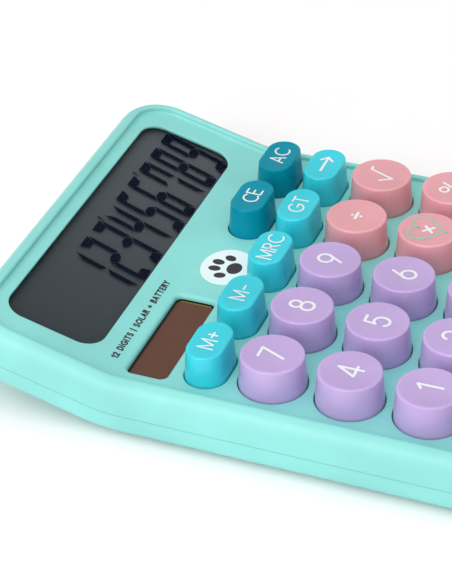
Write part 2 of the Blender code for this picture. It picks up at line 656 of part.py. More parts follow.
def make_bottom_shell():
    """Lower shell: a tray with screw bosses and the battery's housing."""
    rim = PARTING - GAP / 2
    inner = CASE_WALL + TONGUE_THICK + GAP
    sections = [
        (inner, FLOOR_TOP),
        (inner, PARTING + TONGUE_HEIGHT),
        (CASE_WALL + GAP, PARTING + TONGUE_HEIGHT),
        (CASE_WALL + GAP, rim),
        (0.0, rim),
        *bottom_round(),
    ]
    flat = case_solid(sections)

    bosses = bmesh.new()
    for place in case_screws():
        low, high = FLOOR_TOP - FLOOR_WALL / 2, post_foot(place) - GAP
        add_prism(bosses, circle(BOSS_RADIUS, place), low, high)
    flat = joined(flat, closed_mesh(bosses), "UNION")
    bores = bmesh.new()
    for place in case_screws():
        head = CASE_BOTTOM + SCREW_HEAD_THICK + 2 * GAP
        wide = circle(SCREW_HEAD_RADIUS + GAP, place)
        narrow = circle(SCREW_RADIUS + GAP, place)
        add_loft(bores, [
            (wide, CASE_BOTTOM - PAST),
            (wide, head),
            (narrow, head),
            (narrow, BOARD_BOTTOM + PAST),
        ])
    shell = bent(joined(flat, closed_mesh(bores), "DIFFERENCE"))

    housing = bmesh.new()
    add_housing(housing, 0.0)
    shell = joined(shell, closed_mesh(housing), "UNION")
    hollow = bmesh.new()
    add_housing(hollow, FLOOR_WALL)
    shell = joined(shell, closed_mesh(hollow), "DIFFERENCE")

    middle = battery_along()
    front, rear = door_span()
    groove_top = DOOR_TOP + GAP
    in_floor = CASE_BOTTOM + FLOOR_WALL / 2
    walls = bmesh.new()
    reach = WELL_REACH + WELL_WALL
    side = WELL_HALF + WELL_WALL
    table_block(walls, (-side, side), (middle - reach, middle + reach),
                (in_floor, WELL_CEILING + WELL_WALL))
    shell = joined(shell, closed_mesh(walls), "UNION")
    rails = bmesh.new()
    side = DOOR_HALF + DOOR_TONGUE + WELL_WALL
    table_block(rails, (-side, side), (front - WELL_WALL, rear - FLOOR_WALL / 2),
                (in_floor, groove_top + WELL_WALL))
    shell = joined(shell, closed_mesh(rails), "UNION")

    past_rear = rear + BOTTOM_ROUND + PAST
    well = bmesh.new()
    table_block(well, (-WELL_HALF, WELL_HALF), (middle - WELL_REACH, middle + WELL_REACH),
                (DOOR_TOP, WELL_CEILING))
    shell = joined(shell, closed_mesh(well), "DIFFERENCE")
    slot = bmesh.new()
    side = DOOR_HALF + GAP
    table_block(slot, (-side, side), (front - GAP, past_rear),
                (CASE_BOTTOM - PAST, groove_top))
    shell = joined(shell, closed_mesh(slot), "DIFFERENCE")
    groove = bmesh.new()
    side = DOOR_HALF + DOOR_TONGUE + GAP
    table_block(groove, (-side, side), (front - GAP, past_rear),
                (DOOR_TONGUE_LOW - GAP, groove_top))
    shell = joined(shell, closed_mesh(groove), "DIFFERENCE")

    openings = bmesh.new()
    for _, x in contact_plates():
        table_block(openings, (x - 2 * CONTACT_THICK, x + 2 * CONTACT_THICK),
                    tab_span(GAP), (WELL_CEILING - PAST, WELL_CEILING + WELL_WALL + PAST))
    for place in feet():
        recess = circle(FOOT_RADIUS + GAP, on_table(*place, 0.0), FOOT_STEPS)
        low = on_table(0.0, 0.0, CASE_BOTTOM).z
        add_prism(openings, recess, low - PAST, low + FOOT_RECESS)
    shell = joined(shell, closed_mesh(openings), "DIFFERENCE")
    return piece("bottom_shell", shell, "mint_plastic")


# Keys

def key_sections(half_x, half_y):
    """Return a hollow key cap's sections, from the stem's end round to the top."""
    oval = half_x != half_y and half_y < KEY_RADIUS
    taper_x, taper_y = (FUNCTION_TAPER_X, FUNCTION_TAPER_Y) if oval else (KEY_TAPER, KEY_TAPER)
    straight_x = max(half_x - half_y, 0.0)
    straight_y = max(half_y - half_x, 0.0)

    def section(size_x, size_y):
        return outline(size_x, size_y, min(size_x, size_y), KEY_STEPS)

    stem = section(STEM_RADIUS + straight_x / 2, STEM_RADIUS + straight_y / 2)
    base = section(half_x, half_y)
    inside = section(half_x - KEY_WALL, half_y - KEY_WALL)
    flange = section(half_x + FLANGE_OUT, half_y + FLANGE_OUT)
    roof = section(half_x - taper_x - KEY_WALL, half_y - taper_y - KEY_WALL)
    top = section(half_x - taper_x, half_y - taper_y)
    return [
        (stem, STEM_END),
        (stem, KEY_HEIGHT - KEY_WALL),
        (roof, KEY_HEIGHT - KEY_WALL),
        (inside, MOUTH),
        (flange, MOUTH),
        (flange, MOUTH + FLANGE_THICK),
        (base, MOUTH + FLANGE_THICK),
        (base, 0.0),
        (top, KEY_HEIGHT),
    ]


def make_keys():
    """Key caps: each hollow, with a stem, and a flange that stops under the deck."""
    for name, material, across, along, (half_x, half_y) in keys():
        cap = bmesh.new()
        add_loft(cap, key_sections(half_x, half_y))
        piece(f"key_{name}", closed_mesh(cap), material, deck_frame(across, along))


# Display

def make_display():
    """Lens, liquid-crystal module, the frame behind it, and its ribbon."""
    place = deck_frame(0.0, slope(WINDOW_MIDDLE))

    lens = bmesh.new()
    ledge = outline(
        WINDOW_HALF + LENS_LEDGE, WINDOW_DEPTH / 2 + LENS_LEDGE, WINDOW_CORNER, KEY_STEPS
    )
    add_prism(lens, ledge, LENS_TOP - LENS_THICK, LENS_TOP)
    piece("lcd_window", closed_mesh(lens), "clear_lens", place)

    module = bmesh.new()
    module_half = WINDOW_HALF + LCD_LEDGE
    module_depth = WINDOW_DEPTH / 2 + LCD_LEDGE
    glass = outline(module_half, module_depth, LCD_CORNER, CUT_CORNER)
    add_prism(module, glass, LCD_TOP - LCD_THICK, LCD_TOP)
    piece("lcd_module", closed_mesh(module), "lcd_glass", place)

    plate = bmesh.new()
    shorter = LCD_FRAME_SHORT / 2
    edge = outline(
        module_half, module_depth - shorter, PLATE_CORNER, CUT_CORNER, (0.0, shorter)
    )
    add_prism(plate, edge, LCD_FRAME_BOTTOM, LCD_FRAME_TOP)
    frame = closed_mesh(plate)
    ears = bmesh.new()
    for end in (-1, 1):
        middle = (0.0, end * (WINDOW_DEPTH / 2 - LCD_EAR_FROM_END))
        half_length = SIDE_POST + PIN_RADIUS + GAP + LCD_EAR_MARGIN
        bar = outline(half_length, LCD_EAR / 2, PLATE_CORNER, CUT_CORNER, middle)
        add_prism(ears, bar, LCD_FRAME_BOTTOM, LCD_FRAME_TOP)
    frame = joined(frame, closed_mesh(ears), "UNION")
    cuts = bmesh.new()
    low, high = LCD_FRAME_BOTTOM - PAST, LCD_FRAME_TOP + PAST
    opening = outline(
        module_half - LCD_FRAME_BORDER, module_depth - LCD_FRAME_BORDER - LCD_FRAME_SHORT,
        2 * PLATE_CORNER, CUT_CORNER,
    )
    add_prism(cuts, opening, low, high)
    for across, along in frame_pins():
        middle = (across, along - slope(WINDOW_MIDDLE))
        add_prism(cuts, circle(PIN_RADIUS + GAP, middle), low, high)
    piece("lcd_frame", joined(frame, closed_mesh(cuts), "DIFFERENCE"), "white_plastic", place)

    front = WINDOW_START - LCD_LEDGE
    under = LCD_TOP - LCD_THICK - GAP - RIBBON_THICK / 2
    route = [
        on_case(0.0, slope(front + RIBBON_ON_MODULE), under),
        on_case(0.0, slope(front), under),
        on_table(0.0, BOARD_REAR + RIBBON_BEHIND_BOARD, BOARD_TOP + RIBBON_OVER_BOARD),
    ]
    on_board = BOARD_TOP + GAP + RIBBON_THICK / 2
    route += [on_table(0.0, BOARD_REAR - before, on_board) for before in RIBBON_ON_BOARD]
    ribbon = bmesh.new()
    band = strip([Vector((point.y, point.z)) for point in route], RIBBON_THICK)
    wires = WELL_HALF + WELL_WALL + WIRE_BESIDE + WIRE_OUT - WIRE_RADIUS
    half = wires - RIBBON_FROM_WIRES
    add_prism(ribbon, band, -half, half, SIDEWAYS)
    piece("lcd_ribbon", closed_mesh(ribbon), "orange_film")


def make_solar_cell():
    """Solar cell in the pocket under its window."""
    cell = bmesh.new()
    half_x, half_y = SOLAR_WIDTH / 2 + SOLAR_LEDGE, SOLAR_DEPTH / 2 + SOLAR_LEDGE
    plate = outline(half_x, half_y, PLATE_CORNER, CUT_CORNER)
    add_prism(cell, plate, SOLAR_TOP - SOLAR_THICK, SOLAR_TOP)
    place = Matrix.Translation(on_table(SOLAR_X, SOLAR_Y, 0.0))
    piece("solar_cell", closed_mesh(cell), "solar_glass", place)


# Inside

def make_keypad():
    """Rubber sheet with a dome under every key's stem."""
    sheet = bmesh.new()
    half_length = (SHEET_REAR - BOARD_FRONT) / 2
    middle = (0.0, (SHEET_REAR + BOARD_FRONT) / 2)
    edge = outline(BOARD_HALF, half_length, BOARD_CORNER, CUT_CORNER, middle)
    add_prism(sheet, edge, SHEET_BOTTOM, SHEET_TOP)
    domes = bmesh.new()
    for _, _, across, along, _ in keys():
        foot = circle(DOME_RADIUS, (across, along))
        crown = circle(DOME_TOP_RADIUS, (across, along))
        add_loft(domes, [(foot, SHEET_TOP - SHEET_THICK / 2), (foot, SHEET_TOP), (crown, DOME_TOP)])
    flat = joined(closed_mesh(sheet), closed_mesh(domes), "UNION")
    holes = bmesh.new()
    for place, radius in post_places():
        hole = circle(radius + 2 * GAP, place)
        add_prism(holes, hole, SHEET_BOTTOM - PAST, SHEET_TOP + PAST)
    flat = joined(flat, closed_mesh(holes), "DIFFERENCE")
    flat.transform(Matrix.Translation(on_table(0.0, 0.0, 0.0)))
    piece("keypad_sheet", flat, "grey_rubber")


def post_places():
    """Return the posts that pass the keypad sheet, with their radii."""
    places = [(place, POST_RADIUS) for place in case_screws() if place[1] < BEND_START]
    return places + [(place, SMALL_POST_RADIUS) for place in board_screws()]


def make_board():
    """Circuit board, its chip under resin, and the small parts on its underside."""
    board = bmesh.new()
    half_length = (BOARD_REAR - BOARD_FRONT) / 2
    middle = (0.0, (BOARD_REAR + BOARD_FRONT) / 2)
    edge = outline(BOARD_HALF, half_length, BOARD_CORNER, CUT_CORNER, middle)
    add_prism(board, edge, BOARD_BOTTOM, BOARD_TOP)
    holes = bmesh.new()
    low, high = BOARD_BOTTOM - PAST, BOARD_TOP + PAST
    for place in case_screws():
        if place[1] < BEND_START:
            add_prism(holes, circle(POST_RADIUS + 2 * GAP, place), low, high)
    for place in board_screws():
        add_prism(holes, circle(SMALL_SCREW_RADIUS + GAP, place), low, high)
    flat = joined(closed_mesh(board), closed_mesh(holes), "DIFFERENCE")
    to_table = Matrix.Translation(on_table(0.0, 0.0, 0.0))
    piece("main_board", flat, "green_board", to_table)

    under = BOARD_BOTTOM - GAP
    chip = bmesh.new()
    add_loft(chip, [
        (circle(CHIP_TOP_RADIUS, steps=FOOT_STEPS), under - CHIP_THICK),
        (circle(CHIP_RADIUS, steps=FOOT_STEPS), under),
    ])
    at_chip = Matrix.Translation(on_table(0.0, CHIP_ROW, 0.0))
    piece("chip_resin", closed_mesh(chip), "black_resin", at_chip)

    capacitor = bmesh.new()
    length, width, thick = CAPACITOR_SIZE
    case = outline(length / 2, width / 2, PLATE_CORNER / 2, CUT_CORNER)
    add_prism(capacitor, case, under - thick, under)
    beside_chip = Matrix.Translation(on_table(COLUMN_PITCH, FUNCTION_ROW, 0.0))
    piece("capacitor", closed_mesh(capacitor), "black_resin", beside_chip)


def screw_mesh(head_low, head_thick, head_radius, radius, tip):
    """Return a screw that points up from its head."""
    screw = bmesh.new()
    head = circle(head_radius)
    shank = circle(radius)
    add_loft(screw, [
        (head, head_low),
        (head, head_low + head_thick),
        (shank, head_low + head_thick),
        (shank, tip),
    ])
    return closed_mesh(screw)


def make_screws():
    """Self-tapping screws: long ones close the case, short ones hold the board."""
    closing = screw_mesh(
        CASE_BOTTOM + GAP, SCREW_HEAD_THICK, SCREW_HEAD_RADIUS, SCREW_RADIUS,
        -DECK_THICK - SCREW_TO_DECK,
    )
    for index, place in enumerate(case_screws(), start=1):
        piece(f"case_screw_{index}", closing, "steel", deck_frame(*place))
    short = screw_mesh(
        BOARD_BOTTOM - GAP - SMALL_HEAD_THICK, SMALL_HEAD_THICK, SMALL_HEAD_RADIUS,
        SMALL_SCREW_RADIUS, -DECK_THICK - SMALL_SCREW_TO_DECK,
    )
    for index, place in enumerate(board_screws(), start=1):
        piece(f"board_screw_{index}", short, "steel", deck_frame(*place))


def make_feet():
    """Rubber feet, glued in shallow recesses under the case."""
    disc = bmesh.new()
    rim = circle(FOOT_RADIUS - FOOT_CHAMFER, steps=FOOT_STEPS)
    edge = circle(FOOT_RADIUS, steps=FOOT_STEPS)
    top = FOOT_STAND + FOOT_RECESS - GAP
    add_loft(disc, [(rim, 0.0), (edge, FOOT_CHAMFER), (edge, top)])
    shape = closed_mesh(disc)
    names = ("front_left", "front_right", "rear_left", "rear_right")
    for name, place in zip(names, feet()):
        middle = on_table(*place, CASE_BOTTOM - FOOT_STAND)
        piece(f"foot_{name}", shape, "dark_rubber", Matrix.Translation(middle))


# Battery

def contact_plates():
    """Return each contact's side and the place of its upright plate."""
    return ((-1, -WELL_HALF + GAP + CONTACT_THICK / 2), (1, WELL_HALF - GAP - CONTACT_THICK / 2))


def tab_span(clearance=0.0):
    """Return where a contact's tab starts and ends along the case."""
    middle = battery_along()
    return middle + TAB_FROM_AXIS - clearance, middle + CONTACT_WIDTH / 2 + clearance


def make_battery():
    """Round cell, its two contacts, and the door that slides off to the rear."""
    middle = battery_along()
    along_x = Matrix.Rotation(math.pi / 2, 4, "Y")
    cell = bmesh.new()
    half = BATTERY_LENGTH / 2
    shoulder_end = half - BUTTON_LENGTH
    jacket = circle(BATTERY_RADIUS, steps=FOOT_STEPS)
    button = circle(BUTTON_RADIUS, steps=FOOT_STEPS)
    add_loft(cell, [
        (jacket, -half), (jacket, shoulder_end), (button, shoulder_end), (button, half),
    ], along_x)
    place = Matrix.Translation(on_table(BATTERY_X, middle, BATTERY_Z))
    piece("battery_cell", closed_mesh(cell), "battery_jacket", place)

    low, high = BATTERY_Z - CONTACT_HEIGHT / 2, BATTERY_Z + CONTACT_HEIGHT / 2
    half_width = CONTACT_WIDTH / 2
    tab_top = WELL_CEILING + WELL_WALL + TAB_ABOVE_WELL
    tip = BATTERY_X - half - GAP - CONTACT_THICK
    for side, x in contact_plates():
        fold = [Vector((x, middle - half_width)) + Vector(offset) for offset in SPRING_FOLD]
        route = [Vector((x, middle + half_width)), fold[0]]
        if side < 0:
            route += fold[1:]
            route += [Vector((tip, middle)) + Vector(offset) for offset in SPRING_TIP]
        blade = bmesh.new()
        band = strip(route, CONTACT_THICK)
        low_z, high_z = (on_table(0.0, 0.0, height).z for height in (low, high))
        band = [point + Vector((0.0, TO_MIDDLE)) for point in band]
        add_prism(blade, band, low_z, high_z)
        tab = bmesh.new()
        half_tab = TAB_THICK / 2
        table_block(tab, (x - half_tab, x + half_tab), tab_span(), (high - PAST, tab_top))
        name = "battery_spring" if side < 0 else "battery_plate"
        piece(name, joined(closed_mesh(blade), closed_mesh(tab), "UNION"), "steel")

    front, rear = door_span()
    plate = bmesh.new()
    table_block(plate, (-DOOR_HALF, DOOR_HALF), (front, rear), (CASE_BOTTOM, DOOR_TOP))
    door = closed_mesh(plate)
    tongues = bmesh.new()
    side = DOOR_HALF + DOOR_TONGUE
    table_block(tongues, (-side, side), (front, rear - DOOR_TONGUE_SHORT),
                (DOOR_TONGUE_LOW, DOOR_TOP))
    door = joined(door, closed_mesh(tongues), "UNION")
    grips = bmesh.new()
    for index in range(GRIPS):
        start = rear - GRIP_FROM_REAR - index * GRIP_PITCH
        table_block(grips, (-GRIP_HALF, GRIP_HALF), (start, start + GRIP_WIDTH),
                    (CASE_BOTTOM - PAST, CASE_BOTTOM + GRIP_DEPTH))
    piece("battery_door", joined(door, closed_mesh(grips), "DIFFERENCE"), "mint_plastic")


def make_solar_lead():
    """Flat twin lead from the solar cell down to the board."""
    on_board = BOARD_TOP + GAP + LEAD_THICK / 2
    landing = BOARD_REAR - LEAD_FROM_REAR
    under_cell = SOLAR_TOP - SOLAR_THICK - GAP - LEAD_THICK / 2
    route = [Vector((landing, under_cell)) + Vector(offset) for offset in LEAD_UNDER_CELL]
    route += [Vector((landing, on_board)) + Vector(offset) for offset in LEAD_ON_BOARD]
    lead = bmesh.new()
    add_prism(lead, strip(route, LEAD_THICK), -LEAD_WIDTH / 2, LEAD_WIDTH / 2, SIDEWAYS)
    place = Matrix.Translation(on_table(SOLAR_X - SOLAR_WIDTH / 4, 0.0, 0.0))
    piece("solar_lead", closed_mesh(lead), "red_wire", place)


def make_battery_wires():
    """Wires from the battery's contacts, round its well and forward to the board."""
    middle = battery_along()
    top = WELL_CEILING + WELL_WALL + WIRE_TAB_HEIGHT
    on_board = BOARD_TOP + GAP + WIRE_RADIUS
    for side, x in contact_plates():
        beside = side * (WELL_HALF + WELL_WALL + WIRE_BESIDE)
        outside = beside + side * WIRE_OUT
        route = [
            on_table(x + side * out, middle + along, top) for out, along in WIRE_FROM_TAB
        ]
        route += [
            on_table(beside + side * out, middle + along, top + up)
            for out, along, up in WIRE_ROUND_WELL
        ]
        route += [
            on_table(outside, middle + along, on_board + up) for along, up in WIRE_OVER_FLOOR
        ]
        route += [
            on_table(outside, BOARD_REAR + along, on_board + up) for along, up in WIRE_ON_BOARD
        ]
        name = "battery_wire_minus" if side < 0 else "battery_wire_plus"
        curve = bpy.data.curves.new(name, "CURVE")
        curve.dimensions = "3D"
        curve.bevel_depth = WIRE_RADIUS
        curve.bevel_resolution = 1
        curve.use_fill_caps = True
        spline = curve.splines.new("POLY")
        spline.points.add(len(route) - 1)
        for point, place in zip(spline.points, route):
            point.co = (*place, 1.0)
        curve.materials.append(finish("red_wire"))
        bpy.context.scene.collection.objects.link(bpy.data.objects.new(name, curve))


def main():
    """Clear the scene and make every piece."""
    for item in list(bpy.data.objects):
        bpy.data.objects.remove(item)
    make_top_shell()
    make_bottom_shell()
    make_keys()
    make_display()
    make_solar_cell()
    make_keypad()
    make_board()
    make_screws()
    make_feet()
    make_battery()
    make_solar_lead()
    make_battery_wires()


main()
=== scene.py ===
"""Finished surfaces of a twelve-digit desk calculator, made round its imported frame.

The case is drawn flat first: "across" is X, "along" runs over the deck from front to
rear, and "height" stands up from the deck.  Deck.place() bends that drawing at the foot
of the display.  Each sub-assembly is a class with its sizes as fields; lengths are in
metres.
"""

import logging
import math
from dataclasses import dataclass, field
from enum import Enum
from typing import Iterable, Sequence

import bmesh
import bpy
from mathutils import Matrix, Vector


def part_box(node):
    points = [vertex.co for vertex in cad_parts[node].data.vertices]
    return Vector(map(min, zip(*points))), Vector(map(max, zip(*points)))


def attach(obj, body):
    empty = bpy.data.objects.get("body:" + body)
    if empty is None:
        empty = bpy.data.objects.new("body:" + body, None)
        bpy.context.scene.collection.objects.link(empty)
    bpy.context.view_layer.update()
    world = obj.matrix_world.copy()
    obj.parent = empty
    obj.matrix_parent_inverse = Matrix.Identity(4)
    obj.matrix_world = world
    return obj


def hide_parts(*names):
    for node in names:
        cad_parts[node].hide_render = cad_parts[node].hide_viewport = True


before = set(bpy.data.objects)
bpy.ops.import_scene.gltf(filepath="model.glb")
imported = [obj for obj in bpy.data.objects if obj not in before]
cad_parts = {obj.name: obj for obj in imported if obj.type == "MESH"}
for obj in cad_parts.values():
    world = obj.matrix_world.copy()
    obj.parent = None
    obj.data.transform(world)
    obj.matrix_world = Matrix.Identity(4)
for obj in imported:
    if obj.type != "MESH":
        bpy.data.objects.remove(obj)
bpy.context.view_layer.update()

MM = 0.001
GAP = 0.3 * MM            # between pieces that seat on each other
SUPPORT = 0.4 * MM        # flat band kept round every rounded rim
SINK = 0.01 * MM          # how deep printed ink reaches into its surface
FLANGE_OUT = 0.85 * MM    # of a key cap, under the deck
BEND_FROM_KEYS = 3.51 * MM
CELL_LEDGE = 1.2 * MM     # of the solar cell, under its window's rim
SOLAR_CORNER = 2.0 * MM
DOOR_TONGUE = 2.0 * MM    # how far the battery door's tongues stand out at its sides
TONGUE_ABOVE = 1.2 * MM   # from the battery door's face up to its tongues

LOG = logging.getLogger("calculator")
Edges = list[bmesh.types.BMEdge]
Path = list[Vector]
Pair = tuple[float, float]
Colour = tuple[float, float, float]
Section = tuple["Outline", float]


# Finishes

class Slot(Enum):
    """Names of material slots; the key shades carry one each, but no piece is given one."""

    SHELL = "mint_shell"
    LILAC = "lilac_keys"
    PINK = "pink_keys"
    CYAN = "cyan_keys"
    TEAL = "teal_keys"
    LENS = "clear_lens"
    LCD = "lcd_glass"
    SOLAR = "solar_glass"
    RUBBER = "dark_rubber"


def linear(red: float, green: float, blue: float) -> tuple[float, float, float, float]:
    """Turn display colour values from 0 to 255 into a linear colour with full alpha."""
    def one(value: float) -> float:
        """Turn one display value into a linear one."""
        share = value / 255
        return share / 12.92 if share <= 0.04045 else ((share + 0.055) / 1.055) ** 2.4
    return (one(red), one(green), one(blue), 1.0)


class Recipe:
    """A material that is being put together from shader nodes."""

    def __init__(self, name: str) -> None:
        """Start a material with its shader and object coordinates."""
        self.material = bpy.data.materials.new(name)
        self.material.use_nodes = True
        self.tree = self.material.node_tree
        self.shader = self.tree.nodes["Principled BSDF"]
        self.place = self.node("ShaderNodeTexCoord").outputs["Object"]

    def node(self, kind: str, **values: object) -> bpy.types.Node:
        """Add a node and set the inputs and properties named in values.

        Args:
            kind: The node's type name.
            values: Inputs by lower-case name, or properties of the node.

        Returns:
            The new node.
        """
        made = self.tree.nodes.new(kind)
        for name, value in values.items():
            label = name.replace("_", " ").title()
            if label in made.inputs:
                made.inputs[label].default_value = value
            else:
                setattr(made, name, value)
        return made

    def link(self, start: bpy.types.NodeSocket, end: bpy.types.NodeSocket) -> None:
        """Join two sockets."""
        self.tree.links.new(start, end)

    def set(self, **values: object) -> None:
        """Set the shader's inputs, named in lower case."""
        for name, value in values.items():
            self.shader.inputs[name.replace("_", " ")].default_value = value

    def noise(self, scale: float, detail: float = 2.0) -> bpy.types.NodeSocket:
        """Return a noise's value over the object."""
        made = self.node("ShaderNodeTexNoise", scale=scale, detail=detail)
        self.link(self.place, made.inputs["Vector"])
        return made.outputs["Fac"]

    def ramp(
        self, value: bpy.types.NodeSocket, stops: Sequence[tuple[float, Sequence[float]]]
    ) -> bpy.types.NodeSocket:
        """Return a colour that follows a value through stops of (place, colour)."""
        made = self.node("ShaderNodeValToRGB")
        elements = made.color_ramp.elements
        while len(elements) < len(stops):
            elements.new(0.5)
        for element, (position, colour) in zip(elements, stops):
            element.position = position
            element.color = colour
        self.link(value, made.inputs["Fac"])
        return made.outputs["Color"]

    def spread(self, value: bpy.types.NodeSocket, low: float, high: float) -> bpy.types.NodeSocket:
        """Return a value from 0 to 1 stretched between low and high."""
        made = self.node("ShaderNodeMapRange")
        made.inputs["To Min"].default_value = low
        made.inputs["To Max"].default_value = high
        self.link(value, made.inputs["Value"])
        return made.outputs["Result"]

    def bump(self, height: bpy.types.NodeSocket, strength: float, depth: float) -> None:
        """Raise the surface by a height of depth metres."""
        made = self.node("ShaderNodeBump", strength=strength, distance=depth)
        self.link(height, made.inputs["Height"])
        self.link(made.outputs["Normal"], self.shader.inputs["Normal"])


@dataclass(frozen=True)
class Moulded:
    """Moulded plastic or rubber: a fine grain over a slow change of tone."""

    name: str
    colour: Colour
    roughness: float = 0.3
    coat: float = 0.0
    grain: float = 0.25
    tone: float = 0.03
    glow: float = 0.0          # light that scatters inside the plastic
    metallic: float = 0.0
    sheen: float = 0.35        # strength of reflections

    def build(self) -> bpy.types.Material:
        """Return the material."""
        recipe = Recipe(self.name)
        dark = linear(*(value * (1 - self.tone) for value in self.colour))
        light = linear(*(min(value * (1 + self.tone), 255) for value in self.colour))
        cloud = recipe.noise(scale=35.0, detail=3.0)
        recipe.link(recipe.ramp(cloud, ((0.3, dark), (0.7, light))), recipe.shader.inputs["Base Color"])
        grain = recipe.noise(scale=2600.0)
        rough = recipe.spread(grain, self.roughness * 0.85, self.roughness * 1.15)
        recipe.link(rough, recipe.shader.inputs["Roughness"])
        recipe.bump(grain, self.grain, 0.01 * MM)
        recipe.set(Coat_Weight=self.coat, Coat_Roughness=0.08, Metallic=self.metallic)
        recipe.set(Specular_IOR_Level=self.sheen)
        if self.glow:
            recipe.set(Subsurface_Weight=self.glow, Subsurface_Scale=3.0 * MM)
            recipe.shader.inputs["Subsurface Radius"].default_value = (1.0, 1.0, 1.0)
        return recipe.material


@dataclass(frozen=True)
class Brushed:
    """Plated steel with fine scratches along X."""

    name: str
    colour: Colour
    roughness: float = 0.3

    def build(self) -> bpy.types.Material:
        """Return the material."""
        recipe = Recipe(self.name)
        stretch = recipe.node("ShaderNodeMapping")
        stretch.inputs["Scale"].default_value = (1.0, 18.0, 18.0)
        recipe.link(recipe.place, stretch.inputs["Vector"])
        recipe.place = stretch.outputs["Vector"]
        lines = recipe.noise(scale=180.0, detail=4.0)
        dull = linear(*(value * 0.86 for value in self.colour))
        recipe.link(
            recipe.ramp(lines, ((0.3, dull), (0.7, linear(*self.colour)))),
            recipe.shader.inputs["Base Color"],
        )
        recipe.link(recipe.spread(lines, self.roughness * 0.7, self.roughness * 1.3),
                    recipe.shader.inputs["Roughness"])
        recipe.set(Metallic=1.0)
        return recipe.material


@dataclass(frozen=True)
class Lens:
    """Clear window: it lets the display show and adds a sheen of its own."""

    name: str
    cover: float = 0.01        # how much of the light behind it it holds back

    def build(self) -> bpy.types.Material:
        """Return the material."""
        recipe = Recipe(self.name)
        haze = recipe.noise(scale=60.0)
        recipe.link(recipe.spread(haze, 0.03, 0.06), recipe.shader.inputs["Roughness"])
        recipe.shader.inputs["Base Color"].default_value = linear(60, 66, 72)
        recipe.set(Alpha=self.cover)
        return recipe.material


@dataclass(frozen=True)
class Graded:
    """Glass plate with a painted reflection: its colour grows evenly lighter across it, from the near end
    to the far end.
    """

    name: str
    # painted shade: the darker colour, at the near end of the plate
    near: Colour
    # painted reflection: the lighter colour, at the far end of the plate
    far: Colour
    start: float
    end: float
    roughness: float = 0.35
    sheen: float = 0.15

    def build(self) -> bpy.types.Material:
        """Return the material."""
        recipe = Recipe(self.name)
        axes = recipe.node("ShaderNodeSeparateXYZ")
        recipe.link(recipe.place, axes.inputs["Vector"])
        across = recipe.node("ShaderNodeMapRange")
        across.inputs["From Min"].default_value = self.start
        across.inputs["From Max"].default_value = self.end
        recipe.link(axes.outputs["X"], across.inputs["Value"])
        # painted reflection: the base colour runs from the darker near colour to the lighter far one
        # across X
        recipe.link(
            recipe.ramp(across.outputs["Result"], ((0.0, linear(*self.near)), (1.0, linear(*self.far)))),
            recipe.shader.inputs["Base Color"],
        )
        grain = recipe.noise(scale=1500.0)
        recipe.link(recipe.spread(grain, self.roughness * 0.9, self.roughness * 1.1),
                    recipe.shader.inputs["Roughness"])
        recipe.set(Specular_IOR_Level=self.sheen)
        return recipe.material


@dataclass(frozen=True)
class SolarGlass:
    """Brown amorphous cell behind glass, with a faint line between its strips."""

    name: str
    middle: float              # across, of the cell
    strip: float               # width of one strip
    line: float = 0.12 * MM
    sheen: float = 0.25

    def build(self) -> bpy.types.Material:
        """Return the material."""
        recipe = Recipe(self.name)
        axes = recipe.node("ShaderNodeSeparateXYZ")
        recipe.link(recipe.place, axes.inputs["Vector"])
        offset = recipe.node("ShaderNodeMath", operation="SUBTRACT")
        offset.inputs[1].default_value = self.middle
        recipe.link(axes.outputs["X"], offset.inputs[0])
        repeat = recipe.node("ShaderNodeMath", operation="PINGPONG")
        repeat.inputs[1].default_value = self.strip / 2
        recipe.link(offset.outputs["Value"], repeat.inputs[0])
        share = recipe.node("ShaderNodeMath", operation="DIVIDE")
        share.inputs[1].default_value = self.strip / 2
        recipe.link(repeat.outputs["Value"], share.inputs[0])
        edge = 2 * self.line / self.strip
        brown, seam = linear(94, 58, 45), linear(78, 49, 38)
        recipe.link(
            recipe.ramp(share.outputs["Value"], ((0.0, seam), (edge, brown), (1.0, brown))),
            recipe.shader.inputs["Base Color"],
        )
        recipe.link(recipe.spread(recipe.noise(scale=400.0), 0.3, 0.4), recipe.shader.inputs["Roughness"])
        recipe.set(Specular_IOR_Level=self.sheen)
        return recipe.material


class Finishes:
    """The materials, each made once when it is first asked for."""

    def __init__(self, sources: Iterable[Moulded | Brushed | Lens | Graded | SolarGlass]) -> None:
        """Keep the finishes by name."""
        self.sources = {source.name: source for source in sources}
        self.made: dict[str, bpy.types.Material] = {}

    def __getitem__(self, name: str) -> bpy.types.Material:
        """Return the material of that name."""
        if name not in self.made:
            self.made[name] = self.sources[name].build()
        return self.made[name]


# The flat drawing

